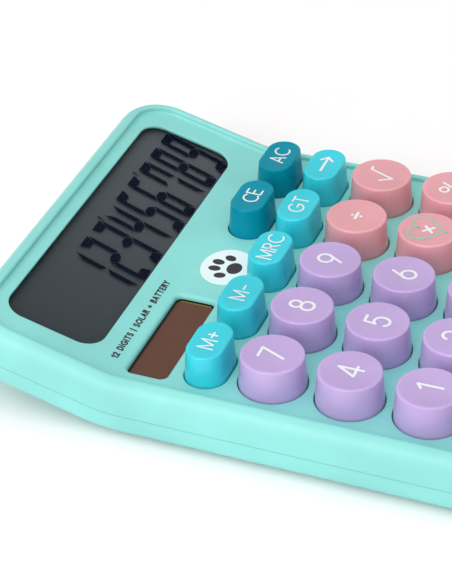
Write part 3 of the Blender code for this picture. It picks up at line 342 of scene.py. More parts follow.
@dataclass(frozen=True)
class Deck:
    """The flat drawing's place in the frame, and its bend at the foot of the display."""

    row: float                 # y of the keys 7, 8 and 9, where "along" is 0
    surface: float             # z of the deck
    bend_line: float
    tilt: float = math.radians(15.18)
    radius: float = 30.0 * MM

    @property
    def tangent(self) -> float:
        """Return the length from the bend's line to where the arc begins."""
        return self.radius * math.tan(self.tilt / 2)

    @property
    def start(self) -> float:
        """Return where the arc begins, along."""
        return self.bend_line - self.tangent

    @property
    def arc(self) -> float:
        """Return the arc's length."""
        return self.radius * self.tilt

    def slope(self, distance: float) -> float:
        """Return how far along the flat drawing a point up the display's slope lies."""
        return self.start + self.arc + distance - self.tangent

    def tilt_at(self, along: float) -> float:
        """Return the deck's tilt at a place along it."""
        return min(max(along - self.start, 0.0), self.arc) / self.radius

    def flat(self, point: Vector) -> Vector:
        """Return the real place of a point that is not bent with the deck."""
        return Vector((point.x, point.y + self.row, point.z + self.surface))

    def place(self, point: Vector) -> Vector:
        """Return the real place of a point of the flat drawing."""
        tilt = self.tilt_at(point.y)
        straight = max(point.y - self.start - self.arc, 0.0)
        along = min(point.y, self.start) + self.radius * math.sin(tilt) + straight * math.cos(tilt)
        up = self.radius * (1 - math.cos(tilt)) + straight * math.sin(tilt)
        return self.flat(Vector((
            point.x, along - point.z * math.sin(tilt), up + point.z * math.cos(tilt)
        )))

    def bend(self, mesh: bmesh.types.BMesh, steps: int = 14) -> None:
        """Cut a flat mesh at even steps of the bend, then bend it."""
        margin = self.arc / steps
        for step in range(-1, steps + 2):
            bmesh.ops.bisect_plane(
                mesh, geom=mesh.verts[:] + mesh.edges[:] + mesh.faces[:], dist=1e-7,
                plane_co=(0.0, self.start + margin * step, 0.0), plane_no=(0.0, 1.0, 0.0),
            )
        for vertex in mesh.verts:
            vertex.co = self.place(vertex.co)


@dataclass(frozen=True)
class Outline:
    """A rectangle with round corners on the flat drawing; a circle if all corner."""

    half_x: float
    half_y: float
    corner: float
    across: float = 0.0
    along: float = 0.0
    steps: int = 16            # straight steps to a quarter turn

    def grown(self, by: float) -> "Outline":
        """Return the outline moved outwards."""
        return self.resized(by, by)

    def resized(self, by_x: float, by_y: float) -> "Outline":
        """Return the outline grown by different amounts across and along."""
        corner = self.corner + (by_x if self.half_x < self.half_y else by_y)
        half_x, half_y = self.half_x + by_x, self.half_y + by_y
        return Outline(half_x, half_y, min(corner, half_x, half_y), self.across, self.along, self.steps)

    def corner_middle(self, point: Vector) -> Vector:
        """Return the middle of the corner arc that a point belongs to."""
        side_x = 1 if point.x > self.across else -1
        side_y = 1 if point.y > self.along else -1
        return Vector((
            self.across + side_x * (self.half_x - self.corner),
            self.along + side_y * (self.half_y - self.corner),
        ))

    @property
    def reach(self) -> float:
        """Return how far a corner's points lie from its middle, so that its sides fit."""
        return self.corner / math.cos(math.pi / 4 / self.steps)

    def ring(self, mesh: bmesh.types.BMesh, height: float) -> Edges:
        """Draw the outline as a ring of edges."""
        half_step = Matrix.Rotation(math.pi / 4 / self.steps, 4, "Z")
        made = bmesh.ops.create_circle(
            mesh, segments=4 * self.steps, radius=self.reach,
            matrix=Matrix.Translation((self.across, self.along, height)) @ half_step,
        )["verts"]
        for vertex in made:
            middle = self.corner_middle(vertex.co)
            vertex.co.x += middle.x - self.across
            vertex.co.y += middle.y - self.along
        return list({edge for vertex in made for edge in vertex.link_edges})

    def carry(self, vertex: bmesh.types.BMVert, onto: "Outline", height: float) -> None:
        """Move a point of this outline to its place on another one."""
        here, there = self.corner_middle(vertex.co), onto.corner_middle(vertex.co)
        direction = (vertex.co.xy - here).normalized()
        vertex.co = (*(there + direction * onto.reach), height)


def sweep(mesh: bmesh.types.BMesh, rim: Edges, start: Outline, steps: Iterable[Section]) -> Edges:
    """Extrude a rim through outlines and heights.

    Args:
        mesh: The mesh that holds the rim.
        rim: The ring of edges to start from.
        start: The outline that the rim follows.
        steps: Each following outline and its height.

    Returns:
        The last ring of edges.
    """
    here = start
    for onto, height in steps:
        made = bmesh.ops.extrude_edge_only(mesh, edges=rim)["geom"]
        rim = [item for item in made if isinstance(item, bmesh.types.BMEdge) and item.is_boundary]
        for vertex in {vertex for edge in rim for vertex in edge.verts}:
            here.carry(vertex, onto, height)
        here = onto
    return rim


def fill(mesh: bmesh.types.BMesh, rims: Iterable[Edges]) -> None:
    """Fill the flat area between rims."""
    edges = [edge for rim in rims for edge in rim]
    bmesh.ops.triangle_fill(mesh, use_beauty=True, edges=edges, normal=(0.0, 0.0, 1.0))


def arc(
    middle: Pair, radius: Pair, start: float, end: float, steps: int = 5
) -> list[Pair]:
    """Return points of an arc as (growth, height), from start to end in degrees."""
    points = []
    for step in range(steps + 1):
        angle = math.radians(start + (end - start) * step / steps)
        points.append((middle[0] + radius[0] * math.cos(angle), middle[1] + radius[1] * math.sin(angle)))
    return points


def grown(outline: Outline, profile: Iterable[Pair]) -> list[Section]:
    """Return an outline's sections from (growth, height) pairs."""
    return [(outline.grown(growth), height) for growth, height in profile]


def rounded_rim(radius: float) -> list[Pair]:
    """Return the profile from a surface down into a hole with a rounded rim."""
    return arc((radius, -radius), (radius, radius), 90, 180)


# Making pieces

def add_piece(
    name: str, mesh: bmesh.types.BMesh, material: bpy.types.Material, body: str,
    stands_for: Sequence[str] = (), smooth_below: float = 32.0,
) -> bpy.types.Object:
    """Make a finished piece from a bmesh and let it ride on a body.

    Args:
        name: The piece's name.
        mesh: Its shape, in the frame's coordinates; it is used up.
        material: Its finish.
        body: The body that it moves with.
        stands_for: The frame's nodes that it replaces.
        smooth_below: Edges with a smaller angle, in degrees, are shaded smooth.

    Returns:
        The new object.
    """
    bmesh.ops.recalc_face_normals(mesh, faces=mesh.faces)
    data = bpy.data.meshes.new(name)
    mesh.to_mesh(data)
    mesh.free()
    data.materials.append(material)
    data.shade_smooth()
    data.set_sharp_from_angle(angle=math.radians(smooth_below))
    made = bpy.data.objects.new(name, data)
    bpy.context.scene.collection.objects.link(made)
    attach(made, body)
    if stands_for:
        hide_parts(*stands_for)
    LOG.info("%s: %d faces on %s", name, len(data.polygons), body)
    return made


def joined(base: bmesh.types.BMesh, tool: bmesh.types.BMesh, operation: str) -> bmesh.types.BMesh:
    """Return base joined with, or cut by, the closed bodies of tool; both are used up."""
    items = []
    for label, part in (("base", base), ("tool", tool)):
        bmesh.ops.recalc_face_normals(part, faces=part.faces)
        data = bpy.data.meshes.new(label)
        part.to_mesh(data)
        part.free()
        items.append(bpy.data.objects.new(label, data))
        bpy.context.scene.collection.objects.link(items[-1])
    modifier = items[0].modifiers.new("shape", "BOOLEAN")
    modifier.operation = operation
    modifier.solver = "EXACT"
    modifier.object = items[1]
    graph = bpy.context.evaluated_depsgraph_get()
    result = bmesh.new()
    result.from_object(items[0], graph)
    for item in items:
        data = item.data
        bpy.data.objects.remove(item)
        bpy.data.meshes.remove(data)
    return result


def add_block(mesh: bmesh.types.BMesh, low: Sequence[float], high: Sequence[float],
              rounding: float = 0.0) -> None:
    """Add a box between two corners, with its edges rounded if asked."""
    low, high = Vector(low), Vector(high)
    frame_of_box = Matrix.Translation((low + high) / 2) @ Matrix.Diagonal((*(high - low), 1.0))
    made = bmesh.ops.create_cube(mesh, size=1.0, matrix=frame_of_box)["verts"]
    if rounding:
        edges = list({edge for vertex in made for edge in vertex.link_edges})
        bmesh.ops.bevel(
            mesh, geom=edges, offset=rounding, segments=3, profile=0.5, affect="EDGES", material=-1
        )


def dress(node: str, material: bpy.types.Material) -> None:
    """Give a node of the frame a finish."""
    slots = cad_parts[node].material_slots
    if slots:
        for slot in slots:
            slot.material = material
    else:
        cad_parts[node].data.materials.append(material)


# Lettering

def bow(
    across: float, up: float, wide: float, high: float, start: float, end: float, steps: int = 20
) -> Path:
    """Return an arc of an ellipse, from start to end in degrees."""
    points = []
    for step in range(steps + 1):
        angle = math.radians(start + (end - start) * step / steps)
        points.append(Vector((across + wide * math.cos(angle), up + high * math.sin(angle))))
    return points


def line(*points: Pair) -> Path:
    """Return a path through points."""
    return [Vector(point) for point in points]


@dataclass(frozen=True)
class Glyph:
    """A sign drawn with a pen of even width; its capitals are 1 high."""

    width: float
    strokes: tuple[Path, ...]


def alphabet() -> dict[str, Glyph]:
    """Return the signs of the legends."""
    circle = 360.0
    return {
        "0": Glyph(0.56, (bow(0.28, 0.5, 0.28, 0.5, 0, circle, 32),)),
        "1": Glyph(0.26, (line((0.0, 0.82), (0.24, 1.0), (0.24, 0.0)),)),
        "2": Glyph(0.54, (bow(0.27, 0.73, 0.26, 0.27, 165, -38) + line((0.0, 0.0), (0.56, 0.0)),)),
        "3": Glyph(0.54, (
            bow(0.25, 0.76, 0.22, 0.24, 150, -80), bow(0.25, 0.28, 0.28, 0.28, 85, -155),
        )),
        "4": Glyph(0.62, (
            line((0.44, 1.0), (0.0, 0.27), (0.62, 0.27)), line((0.44, 0.97), (0.44, 0.0)),
        )),
        "5": Glyph(0.54, (
            line((0.48, 1.0), (0.1, 1.0), (0.04, 0.54)), bow(0.25, 0.32, 0.28, 0.32, 138, -150),
        )),
        "6": Glyph(0.56, (
            bow(0.28, 0.3, 0.28, 0.3, 0, circle, 32), line((0.02, 0.38), (0.38, 1.0)),
        )),
        "7": Glyph(0.56, (line((0.0, 1.0), (0.56, 1.0), (0.12, 0.0)),)),
        "8": Glyph(0.56, (
            bow(0.28, 0.76, 0.22, 0.24, 0, circle, 32), bow(0.28, 0.27, 0.28, 0.27, 0, circle, 32),
        )),
        "9": Glyph(0.56, (
            bow(0.28, 0.7, 0.28, 0.3, 0, circle, 32), line((0.54, 0.62), (0.18, 0.0)),
        )),
        ".": Glyph(0.1, (line((0.05, 0.02), (0.06, 0.02)),)),
        "+": Glyph(0.56, (line((0.0, 0.48), (0.56, 0.48)), line((0.28, 0.2), (0.28, 0.76)))),
        "-": Glyph(0.44, (line((0.0, 0.46), (0.44, 0.46)),)),
        "|": Glyph(0.1, (line((0.05, -0.1), (0.05, 1.1)),)),
        "=": Glyph(0.56, (line((0.0, 0.64), (0.56, 0.64)), line((0.0, 0.34), (0.56, 0.34)))),
        "÷": Glyph(0.64, (
            line((0.0, 0.5), (0.64, 0.5)), line((0.31, 0.79), (0.33, 0.79)),
            line((0.31, 0.21), (0.33, 0.21)),
        )),
        "×": Glyph(0.5, (line((0.0, 0.25), (0.5, 0.75)), line((0.0, 0.75), (0.5, 0.25)))),
        "√": Glyph(0.85, (line((0.0, 0.45), (0.25, 0.0), (0.68, 1.0), (0.85, 1.0)),)),
        "%": Glyph(1.0, (
            bow(0.21, 0.79, 0.21, 0.21, 0, circle, 24), bow(0.79, 0.21, 0.21, 0.21, 0, circle, 24),
            line((0.78, 1.0), (0.22, 0.0)),
        )),
        "→": Glyph(1.75, (line((0.0, 0.5), (1.75, 0.5)), line((1.33, 0.9), (1.75, 0.5), (1.33, 0.1)))),
        " ": Glyph(0.3, ()),
        "A": Glyph(0.68, (line((0.0, 0.0), (0.34, 1.0), (0.68, 0.0)), line((0.12, 0.32), (0.56, 0.32)))),
        "B": Glyph(0.52, (
            line((0.0, 0.5), (0.0, 0.0), (0.26, 0.0)) + bow(0.26, 0.26, 0.26, 0.26, -85, 90, 12)
            + line((0.02, 0.52)),
            line((0.0, 0.5), (0.0, 1.0), (0.24, 1.0)) + bow(0.24, 0.76, 0.23, 0.24, 85, -85, 12),
        )),
        "C": Glyph(0.72, (bow(0.48, 0.5, 0.48, 0.5, 52, 308, 28),)),
        "D": Glyph(0.64, (
            line((0.22, 1.0), (0.0, 1.0), (0.0, 0.0), (0.22, 0.0))
            + bow(0.22, 0.5, 0.42, 0.5, -85, 90, 18),
        )),
        "E": Glyph(0.5, (
            line((0.5, 1.0), (0.0, 1.0), (0.0, 0.0), (0.5, 0.0)), line((0.02, 0.52), (0.44, 0.52)),
        )),
        "G": Glyph(0.86, (
            bow(0.48, 0.5, 0.48, 0.5, 52, 330, 28) + line((0.92, 0.46), (0.56, 0.46)),
        )),
        "I": Glyph(0.06, (line((0.03, 0.0), (0.03, 1.0)),)),
        "L": Glyph(0.46, (line((0.0, 1.0), (0.0, 0.0), (0.46, 0.0)),)),
        "M": Glyph(0.86, (line((0.0, 0.0), (0.02, 1.0), (0.43, 0.1), (0.84, 1.0), (0.86, 0.0)),)),
        "O": Glyph(0.92, (bow(0.46, 0.5, 0.46, 0.5, 0, circle, 36),)),
        "R": Glyph(0.54, (
            line((0.0, 0.0), (0.0, 1.0), (0.26, 1.0)) + bow(0.26, 0.75, 0.25, 0.25, 85, -90, 12)
            + line((0.03, 0.5)),
            line((0.28, 0.48), (0.54, 0.0)),
        )),
        "S": Glyph(0.52, (
            bow(0.26, 0.75, 0.24, 0.25, 35, 235, 14) + bow(0.26, 0.26, 0.27, 0.26, 62, -148, 16),
        )),
        "T": Glyph(0.64, (line((0.0, 1.0), (0.64, 1.0)), line((0.32, 0.98), (0.32, 0.0)))),
        "Y": Glyph(0.64, (
            line((0.0, 1.0), (0.32, 0.48), (0.64, 1.0)), line((0.32, 0.5), (0.32, 0.0)),
        )),
    }


@dataclass
class Pen:
    """Draws strokes of even width with round ends as thin closed plates."""

    width: float
    thick: float = 0.02 * MM
    round_steps: int = 7

    def turn_points(self, middle: Vector, start: Vector, end: Vector) -> Path:
        """Return points round middle from one side to another, the short way."""
        angle = start.angle_signed(end)
        return [
            middle + Matrix.Rotation(-angle * step / self.round_steps, 2) @ start
            for step in range(self.round_steps + 1)
        ]

    def side(self, path: Path) -> Path:
        """Return the left side of a path, from its start to its end."""
        points: Path = []
        half = self.width / 2
        normals = []
        for before, after in zip(path, path[1:]):
            direction = (after - before).normalized()
            normals.append(Vector((-direction.y, direction.x)) * half)
        points.append(path[0] + normals[0])
        for corner, first, second in zip(path[1:], normals, normals[1:]):
            turn = first.angle_signed(second)
            if turn > math.radians(20):
                points += self.turn_points(corner, first, second)
            else:
                bisector = (first + second).normalized()
                points.append(corner + bisector * half / max(bisector.dot(first.normalized()), 0.35))
        points.append(path[-1] + normals[-1])
        return points

    def end_cap(self, path: Path) -> Path:
        """Return the inner points of the round end of a path."""
        direction = (path[-1] - path[-2]).normalized()
        side = Vector((-direction.y, direction.x)) * self.width / 2
        return [
            path[-1] + Matrix.Rotation(-math.pi * step / self.round_steps, 2) @ side
            for step in range(1, self.round_steps)
        ]

    def stroke(self, mesh: bmesh.types.BMesh, path: Path, lift: float) -> None:
        """Draw one stroke, its top at lift; a path that closes becomes a band."""
        if (path[0] - path[-1]).length < self.width / 20:
            self.band(mesh, path[:-1], lift)
            return
        back = path[::-1]
        contour = self.side(path) + self.end_cap(path) + self.side(back) + self.end_cap(back)
        face = mesh.faces.new([mesh.verts.new((*point, -SINK)) for point in contour])
        self.raise_faces(mesh, [face], lift)

    def band(self, mesh: bmesh.types.BMesh, path: Path, lift: float) -> None:
        """Draw a closed stroke."""
        closed = [path[-1], *path, path[0]]
        rings = []
        for direction in (closed, closed[::-1]):
            side = self.side(direction)[1:-1]
            vertices = [mesh.verts.new((*point, -SINK)) for point in side]
            rings.append([
                mesh.edges.new((one, other))
                for one, other in zip(vertices, vertices[1:] + vertices[:1])
            ])
        made = bmesh.ops.bridge_loops(mesh, edges=rings[0] + rings[1])["faces"]
        self.raise_faces(mesh, made, lift)

    def raise_faces(self, mesh: bmesh.types.BMesh, faces: list, lift: float) -> None:
        """Give flat faces a thickness, up to lift."""
        made = bmesh.ops.extrude_face_region(mesh, geom=faces, use_keep_orig=True)["geom"]
        for item in made:
            if isinstance(item, bmesh.types.BMVert):
                item.co.z = lift


@dataclass
class Lettering:
    """Writes lines of signs on a surface."""

    capital: float             # height of a capital, between its pen's middles
    pen: Pen
    spacing: float = 0.26      # between signs, in capitals
    signs: dict[str, Glyph] = field(default_factory=alphabet)

    def length(self, text: str) -> float:
        """Return how long a line is, between its pen's middles."""
        widths = sum(self.signs[letter].width for letter in text)
        return (widths + self.spacing * (len(text) - 1)) * self.capital

    def write(self, mesh: bmesh.types.BMesh, text: str, middle: Vector) -> None:
        """Write a line centred on a point of the mesh's own XY plane."""
        start = middle.x - self.length(text) / 2
        layer = 0
        for letter in text:
            glyph = self.signs[letter]
            for stroke in glyph.strokes:
                path = [
                    Vector((start, middle.y)) + Vector((point.x, point.y - 0.5)) * self.capital
                    for point in stroke
                ]
                self.pen.stroke(mesh, path, self.pen.thick * (1 + 0.15 * (layer % 3)))
                layer += 1
            start += (glyph.width + self.spacing) * self.capital


# The case

@dataclass
class Case:
    """Sizes that the two shells share."""

    deck: Deck
    half_width: float
    front: float               # along, of the case's front
    corner: float = 16.0 * MM
    wall: float = 2.0 * MM
    tongue: float = 1.1 * MM
    tongue_height: float = 2.0 * MM
    lip: float = 1.8 * MM
    seam: float = 0.12 * MM
    shoulder_out: float = 5.04 * MM
    shoulder_drop: float = 10.1 * MM
    deck_thick: float = 2.0 * MM
    bottom: float = -15.8 * MM
    floor: float = 1.8 * MM
    window_start: float = 8.25 * MM
    window_depth: float = 30.25 * MM
    window_to_rear: float = 4.3 * MM
    window_side: float = 8.68 * MM
    window_corner: float = 6.6 * MM

    @property
    def parting(self) -> float:
        """Return the height of the line between the shells."""
        return self.lip - self.shoulder_drop

    @property
    def outline(self) -> Outline:
        """Return the case's outer outline on the flat drawing."""
        length = self.window_start + self.window_depth + self.window_to_rear + self.shoulder_out
        rear = self.deck.slope(length)
        return Outline(
            self.half_width, (rear - self.front) / 2, self.corner, 0.0, (rear + self.front) / 2
        )

    @property
    def window(self) -> Outline:
        """Return the display window's outline."""
        return Outline(
            self.half_width - self.shoulder_out - self.window_side, self.window_depth / 2,
            self.window_corner, 0.0, self.window_middle,
        )

    @property
    def window_middle(self) -> float:
        """Return the display window's middle, along."""
        return self.deck.slope(self.window_start + self.window_depth / 2)


@dataclass
class UpperShell:
    """Deck, lip, shoulder, key holes and windows."""

    case: Case
    keys: Sequence[Outline]
    solar: Outline
    key_clearance: float = 0.3 * MM
    hole_round: float = 0.25 * MM
    window_round: float = 0.35 * MM
    window_lip: float = 0.7 * MM
    window_ledge: float = 1.3 * MM
    solar_round: float = 1.2 * MM
    solar_lip: float = 1.5 * MM
    solar_ledge: float = 1.5 * MM
    crest_out: float = 0.3 * MM     # of the crest's top, outside the shoulder's inner line
    crest_round: float = 0.8 * MM
    foot_wide: float = 1.2 * MM     # of the hollow round between the deck and the lip
    foot_high: float = 0.8 * MM
    edge_round: float = 0.1 * MM

    def outer_profile(self) -> list[Pair]:
        """Return the profile from the deck over the lip, down the shoulder and inside."""
        case = self.case
        crest = self.crest_round
        wide = case.shoulder_out - self.crest_out
        wall = -wide - crest
        foot = case.parting + case.seam / 2
        profile = [(wall - self.foot_wide, 0.0)]
        profile += arc((wall - self.foot_wide, self.foot_high),
                       (self.foot_wide, self.foot_high), -75, 0, 6)
        profile += arc((wall + crest, case.lip - crest), (crest, crest), 180, 90)
        profile += arc((-wide, case.parting), (wide, case.shoulder_drop), 85, 5, 16)
        profile += arc((-self.edge_round, foot + self.edge_round),
                       (self.edge_round, self.edge_round), 0, -90, 3)
        inner = -(case.wall + case.tongue + GAP)
        return profile + [
            (-case.wall, foot),
            (-case.wall, case.parting + case.tongue_height + 2 * GAP),
            (inner, -case.deck_thick),
        ]

    def build(self, finishes: Finishes) -> None:
        """Make the shell."""
        case = self.case
        mesh = bmesh.new()
        top: list[Edges] = []
        under: list[Edges] = []

        def opening(outline: Outline, profile: list[Pair]) -> None:
            """Draw a rim on the deck and carry it through to the underside."""
            start = outline.grown(profile[0][0] + SUPPORT)
            rim = start.ring(mesh, 0.0)
            top.append(rim)
            under.append(sweep(mesh, rim, start, grown(outline, profile)))

        profile = self.outer_profile()
        edge = case.outline.grown(profile[0][0] - SUPPORT)
        rim = edge.ring(mesh, 0.0)
        top.append(rim)
        under.append(sweep(mesh, rim, edge, grown(case.outline, profile)))
        for key in self.keys:
            hole = key.grown(self.key_clearance)
            opening(hole, rounded_rim(self.hole_round) + [(0.0, -case.deck_thick)])
        opening(case.window, rounded_rim(self.window_round) + [
            (0.0, -self.window_lip), (self.window_ledge, -self.window_lip),
            (self.window_ledge, -case.deck_thick),
        ])
        opening(self.solar, rounded_rim(self.solar_round) + [
            (0.0, -self.solar_lip), (self.solar_ledge, -self.solar_lip),
            (self.solar_ledge, -case.deck_thick),
        ])
        fill(mesh, top)
        fill(mesh, under)
        case.deck.bend(mesh)
        add_piece("upper_shell", mesh, finishes["mint"], "case", ["top_shell"])


FOOT_NODES = ("foot_front_left", "foot_front_right", "foot_rear_left", "foot_rear_right")


@dataclass
class LowerShell:
    """Tray under the parting line, with screw wells and the battery's housing."""

    case: Case
    bottom_round: float = 4.0 * MM
    edge_round: float = 0.1 * MM
    screw_head: float = 1.4 * MM
    boss_radius: float = 3.8 * MM
    boss_height: float = 2.7 * MM
    housing_start: float = 6.0 * MM
    housing_end: float = 40.0 * MM
    housing_inset: float = 19.2 * MM
    housing_round: float = 2.2 * MM
    housing_rise: float = 1.5       # how much faster its hollow's roof rises than its sides draw in
    well_wall: float = 1.5 * MM
    well_space: float = 0.8 * MM
    past_rear: float = 5.0 * MM     # of the door's cut, past the housing
    recess: float = 0.6 * MM

    def screw_wells(self, mesh: bmesh.types.BMesh) -> tuple[list[Edges], list[Edges]]:
        """Add the wells of the case screws and return their lower and upper rims."""
        case = self.case
        floor_top = case.bottom + case.floor
        below, above = [], []
        for number in range(1, 7):
            low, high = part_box(f"case_screw_{number}")
            across = (low.x + high.x) / 2
            along = (low.y + high.y) / 2 - case.deck.row
            if along > case.deck.start:
                along = case.window_middle
            head = (high.x - low.x) / 2 + GAP
            shank = head / 2
            hole = Outline(head, head, head, across, along, steps=8)
            start = hole.grown(self.edge_round + SUPPORT)
            rim = start.ring(mesh, case.bottom)
            below.append(rim)
            top = case.bottom + self.screw_head + 2 * GAP
            boss_top = floor_top + self.boss_height
            profile = [(growth, case.bottom - height) for growth, height in rounded_rim(self.edge_round)]
            profile += [
                (0.0, top), (-shank, top), (-shank, boss_top),
                (self.boss_radius - head, boss_top), (self.boss_radius - head, floor_top),
            ]
            above.append(sweep(mesh, rim, start, grown(hole, profile)))
        return below, above

    def tray(self) -> bmesh.types.BMesh:
        """Return the tray, bent with the deck."""
        case = self.case
        mesh = bmesh.new()
        below, above = self.screw_wells(mesh)
        rim_height = case.parting - case.seam / 2
        bulge = self.bottom_round
        profile = arc((-bulge, case.bottom + bulge), (bulge, bulge), -90, 0, 8)
        profile += arc((-self.edge_round, rim_height - self.edge_round),
                       (self.edge_round, self.edge_round), 0, 90, 3)
        tongue = -(case.wall + GAP)
        inner = tongue - case.tongue
        tongue_top = case.parting + case.tongue_height
        profile += [
            (tongue, rim_height), (tongue, tongue_top), (inner, tongue_top),
            (inner, case.bottom + case.floor),
        ]
        start = case.outline.grown(-bulge - SUPPORT)
        rim = start.ring(mesh, case.bottom)
        below.append(rim)
        above.append(sweep(mesh, rim, start, grown(case.outline, profile)))
        fill(mesh, below)
        fill(mesh, above)
        case.deck.bend(mesh)
        return mesh

    def housing(self, inset: float, rounding: float) -> bmesh.types.BMesh:
        """Return the battery housing's wedge, drawn in by inset."""
        case = self.case
        middle = case.bottom + case.floor / 2
        start = case.deck.place(Vector((0.0, case.deck.slope(self.housing_start), middle)))
        end = case.deck.place(Vector((0.0, case.deck.slope(self.housing_end), middle)))
        low = case.deck.surface + case.bottom + inset
        rise = inset * self.housing_rise
        half = case.half_width - self.housing_inset - inset
        corners = (
            (start.y + inset, low), (end.y - inset, low),
            (end.y - inset, end.z + rise), (start.y + inset, start.z + rise),
        )
        mesh = bmesh.new()
        side = mesh.faces.new([mesh.verts.new((-half, along, up)) for along, up in corners])
        made = bmesh.ops.extrude_face_region(mesh, geom=[side], use_keep_orig=True)["geom"]
        far = [item for item in made if isinstance(item, bmesh.types.BMVert)]
        bmesh.ops.translate(mesh, vec=(2 * half, 0.0, 0.0), verts=far)
        if rounding:
            lowest = low + MM
            edges = [
                edge for edge in mesh.edges
                if min(vertex.co.z for vertex in edge.verts) < lowest
            ]
            bmesh.ops.bevel(mesh, geom=edges, offset=rounding, segments=4, profile=0.5,
                            affect="EDGES", material=-1)
        return mesh

    def blocks(self, *boxes: tuple[Sequence[float], Sequence[float]]) -> bmesh.types.BMesh:
        """Return closed boxes between pairs of corners."""
        mesh = bmesh.new()
        for low, high in boxes:
            add_block(mesh, low, high)
        return mesh

    def build(self, finishes: Finishes) -> None:
        """Make the shell."""
        case = self.case
        shell = joined(self.tray(), self.housing(0.0, self.housing_round), "UNION")
        shell = joined(shell, self.housing(case.floor, 0.0), "DIFFERENCE")
        bottom = case.deck.surface + case.bottom
        cell_low, cell_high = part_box("battery_cell")
        door_low, door_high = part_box("battery_door")
        spring_low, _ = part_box("battery_spring")
        _, plate_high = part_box("battery_plate")
        well_low = Vector((spring_low.x - GAP, cell_low.y - self.well_space, door_high.z))
        well_high = Vector((plate_high.x + GAP, cell_high.y + self.well_space,
                            cell_high.z + self.well_space / 2))
        wall = Vector((self.well_wall,) * 3)
        in_floor = bottom + case.floor / 2
        outer_low, outer_high = well_low - wall, well_high + wall
        outer_low.z = in_floor
        shell = joined(shell, self.blocks((outer_low, outer_high)), "UNION")
        rail = door_high.x + self.well_wall
        shell = joined(shell, self.blocks((
            (-rail, door_low.y - self.well_wall, in_floor),
            (rail, door_high.y - case.floor / 2, door_high.z + GAP + self.well_wall),
        )), "UNION")
        past_rear = door_high.y + self.past_rear
        shell = joined(shell, self.blocks((well_low, well_high)), "DIFFERENCE")
        half = door_high.x - DOOR_TONGUE + GAP
        shell = joined(shell, self.blocks((
            (-half, door_low.y - GAP, bottom - MM), (half, past_rear, door_high.z + GAP),
        )), "DIFFERENCE")
        half = door_high.x + GAP
        shell = joined(shell, self.blocks((
            (-half, door_low.y - GAP, bottom + TONGUE_ABOVE - GAP),
            (half, past_rear, door_high.z + GAP),
        )), "DIFFERENCE")
        feet = bmesh.new()
        for name in FOOT_NODES:
            low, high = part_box(name)
            radius = (high.x - low.x) / 2 + GAP
            middle = (low + high) / 2
            bmesh.ops.create_cone(
                feet, cap_ends=True, segments=48, radius1=radius, radius2=radius,
                depth=2 * self.recess, matrix=Matrix.Translation((middle.x, middle.y, bottom)),
            )
        shell = joined(shell, feet, "DIFFERENCE")
        add_piece("lower_shell", shell, finishes["mint"], "case", ["bottom_shell"])


# Keys

class Shade(Enum):
    """Colours of the key caps, each with its finish and slot."""

    LILAC = ("lilac", Slot.LILAC)
    PINK = ("pink", Slot.PINK)
    CYAN = ("cyan", Slot.CYAN)
    TEAL = ("teal", Slot.TEAL)


@dataclass(frozen=True)
class Legend:
    """What a key says."""

    text: str
    shade: Shade
    capital: float = 7.1 * MM
    width: float = 0.84 * MM
    heart: bool = False


NUMBER = Shade.LILAC
OPERATOR = Shade.PINK
SMALL = 4.5 * MM          # capitals of the oval keys
SMALL_PEN = 0.54 * MM

LEGENDS = {
    **{str(digit): Legend(str(digit), NUMBER) for digit in range(10)},
    "00": Legend("00", NUMBER, 5.6 * MM),
    "point": Legend(".", NUMBER, 7.1 * MM, 1.3 * MM),
    "divide": Legend("÷", OPERATOR, 4.6 * MM, 0.95 * MM),
    "multiply": Legend("×", OPERATOR, 5.2 * MM, 0.9 * MM, heart=True),
    "root": Legend("√", OPERATOR, 7.7 * MM, 0.75 * MM),
    "percent": Legend("%", OPERATOR, 6.4 * MM, 0.75 * MM),
    "subtract": Legend("-", OPERATOR, 7.0 * MM, 0.9 * MM),
    "add": Legend("+", OPERATOR, 7.0 * MM, 0.9 * MM),
    "equals": Legend("=", OPERATOR, 7.0 * MM, 0.9 * MM),
    "m_plus": Legend("M+", Shade.CYAN, SMALL, SMALL_PEN),
    "m_minus": Legend("M-", Shade.CYAN, SMALL, SMALL_PEN),
    "mrc": Legend("MRC", Shade.CYAN, SMALL, SMALL_PEN),
    "gt": Legend("GT", Shade.CYAN, SMALL, SMALL_PEN),
    "arrow": Legend("→", Shade.CYAN, SMALL, 0.8 * MM),
    "ce": Legend("CE", Shade.TEAL, SMALL, SMALL_PEN),
    "ac": Legend("AC", Shade.TEAL, SMALL, SMALL_PEN),
}


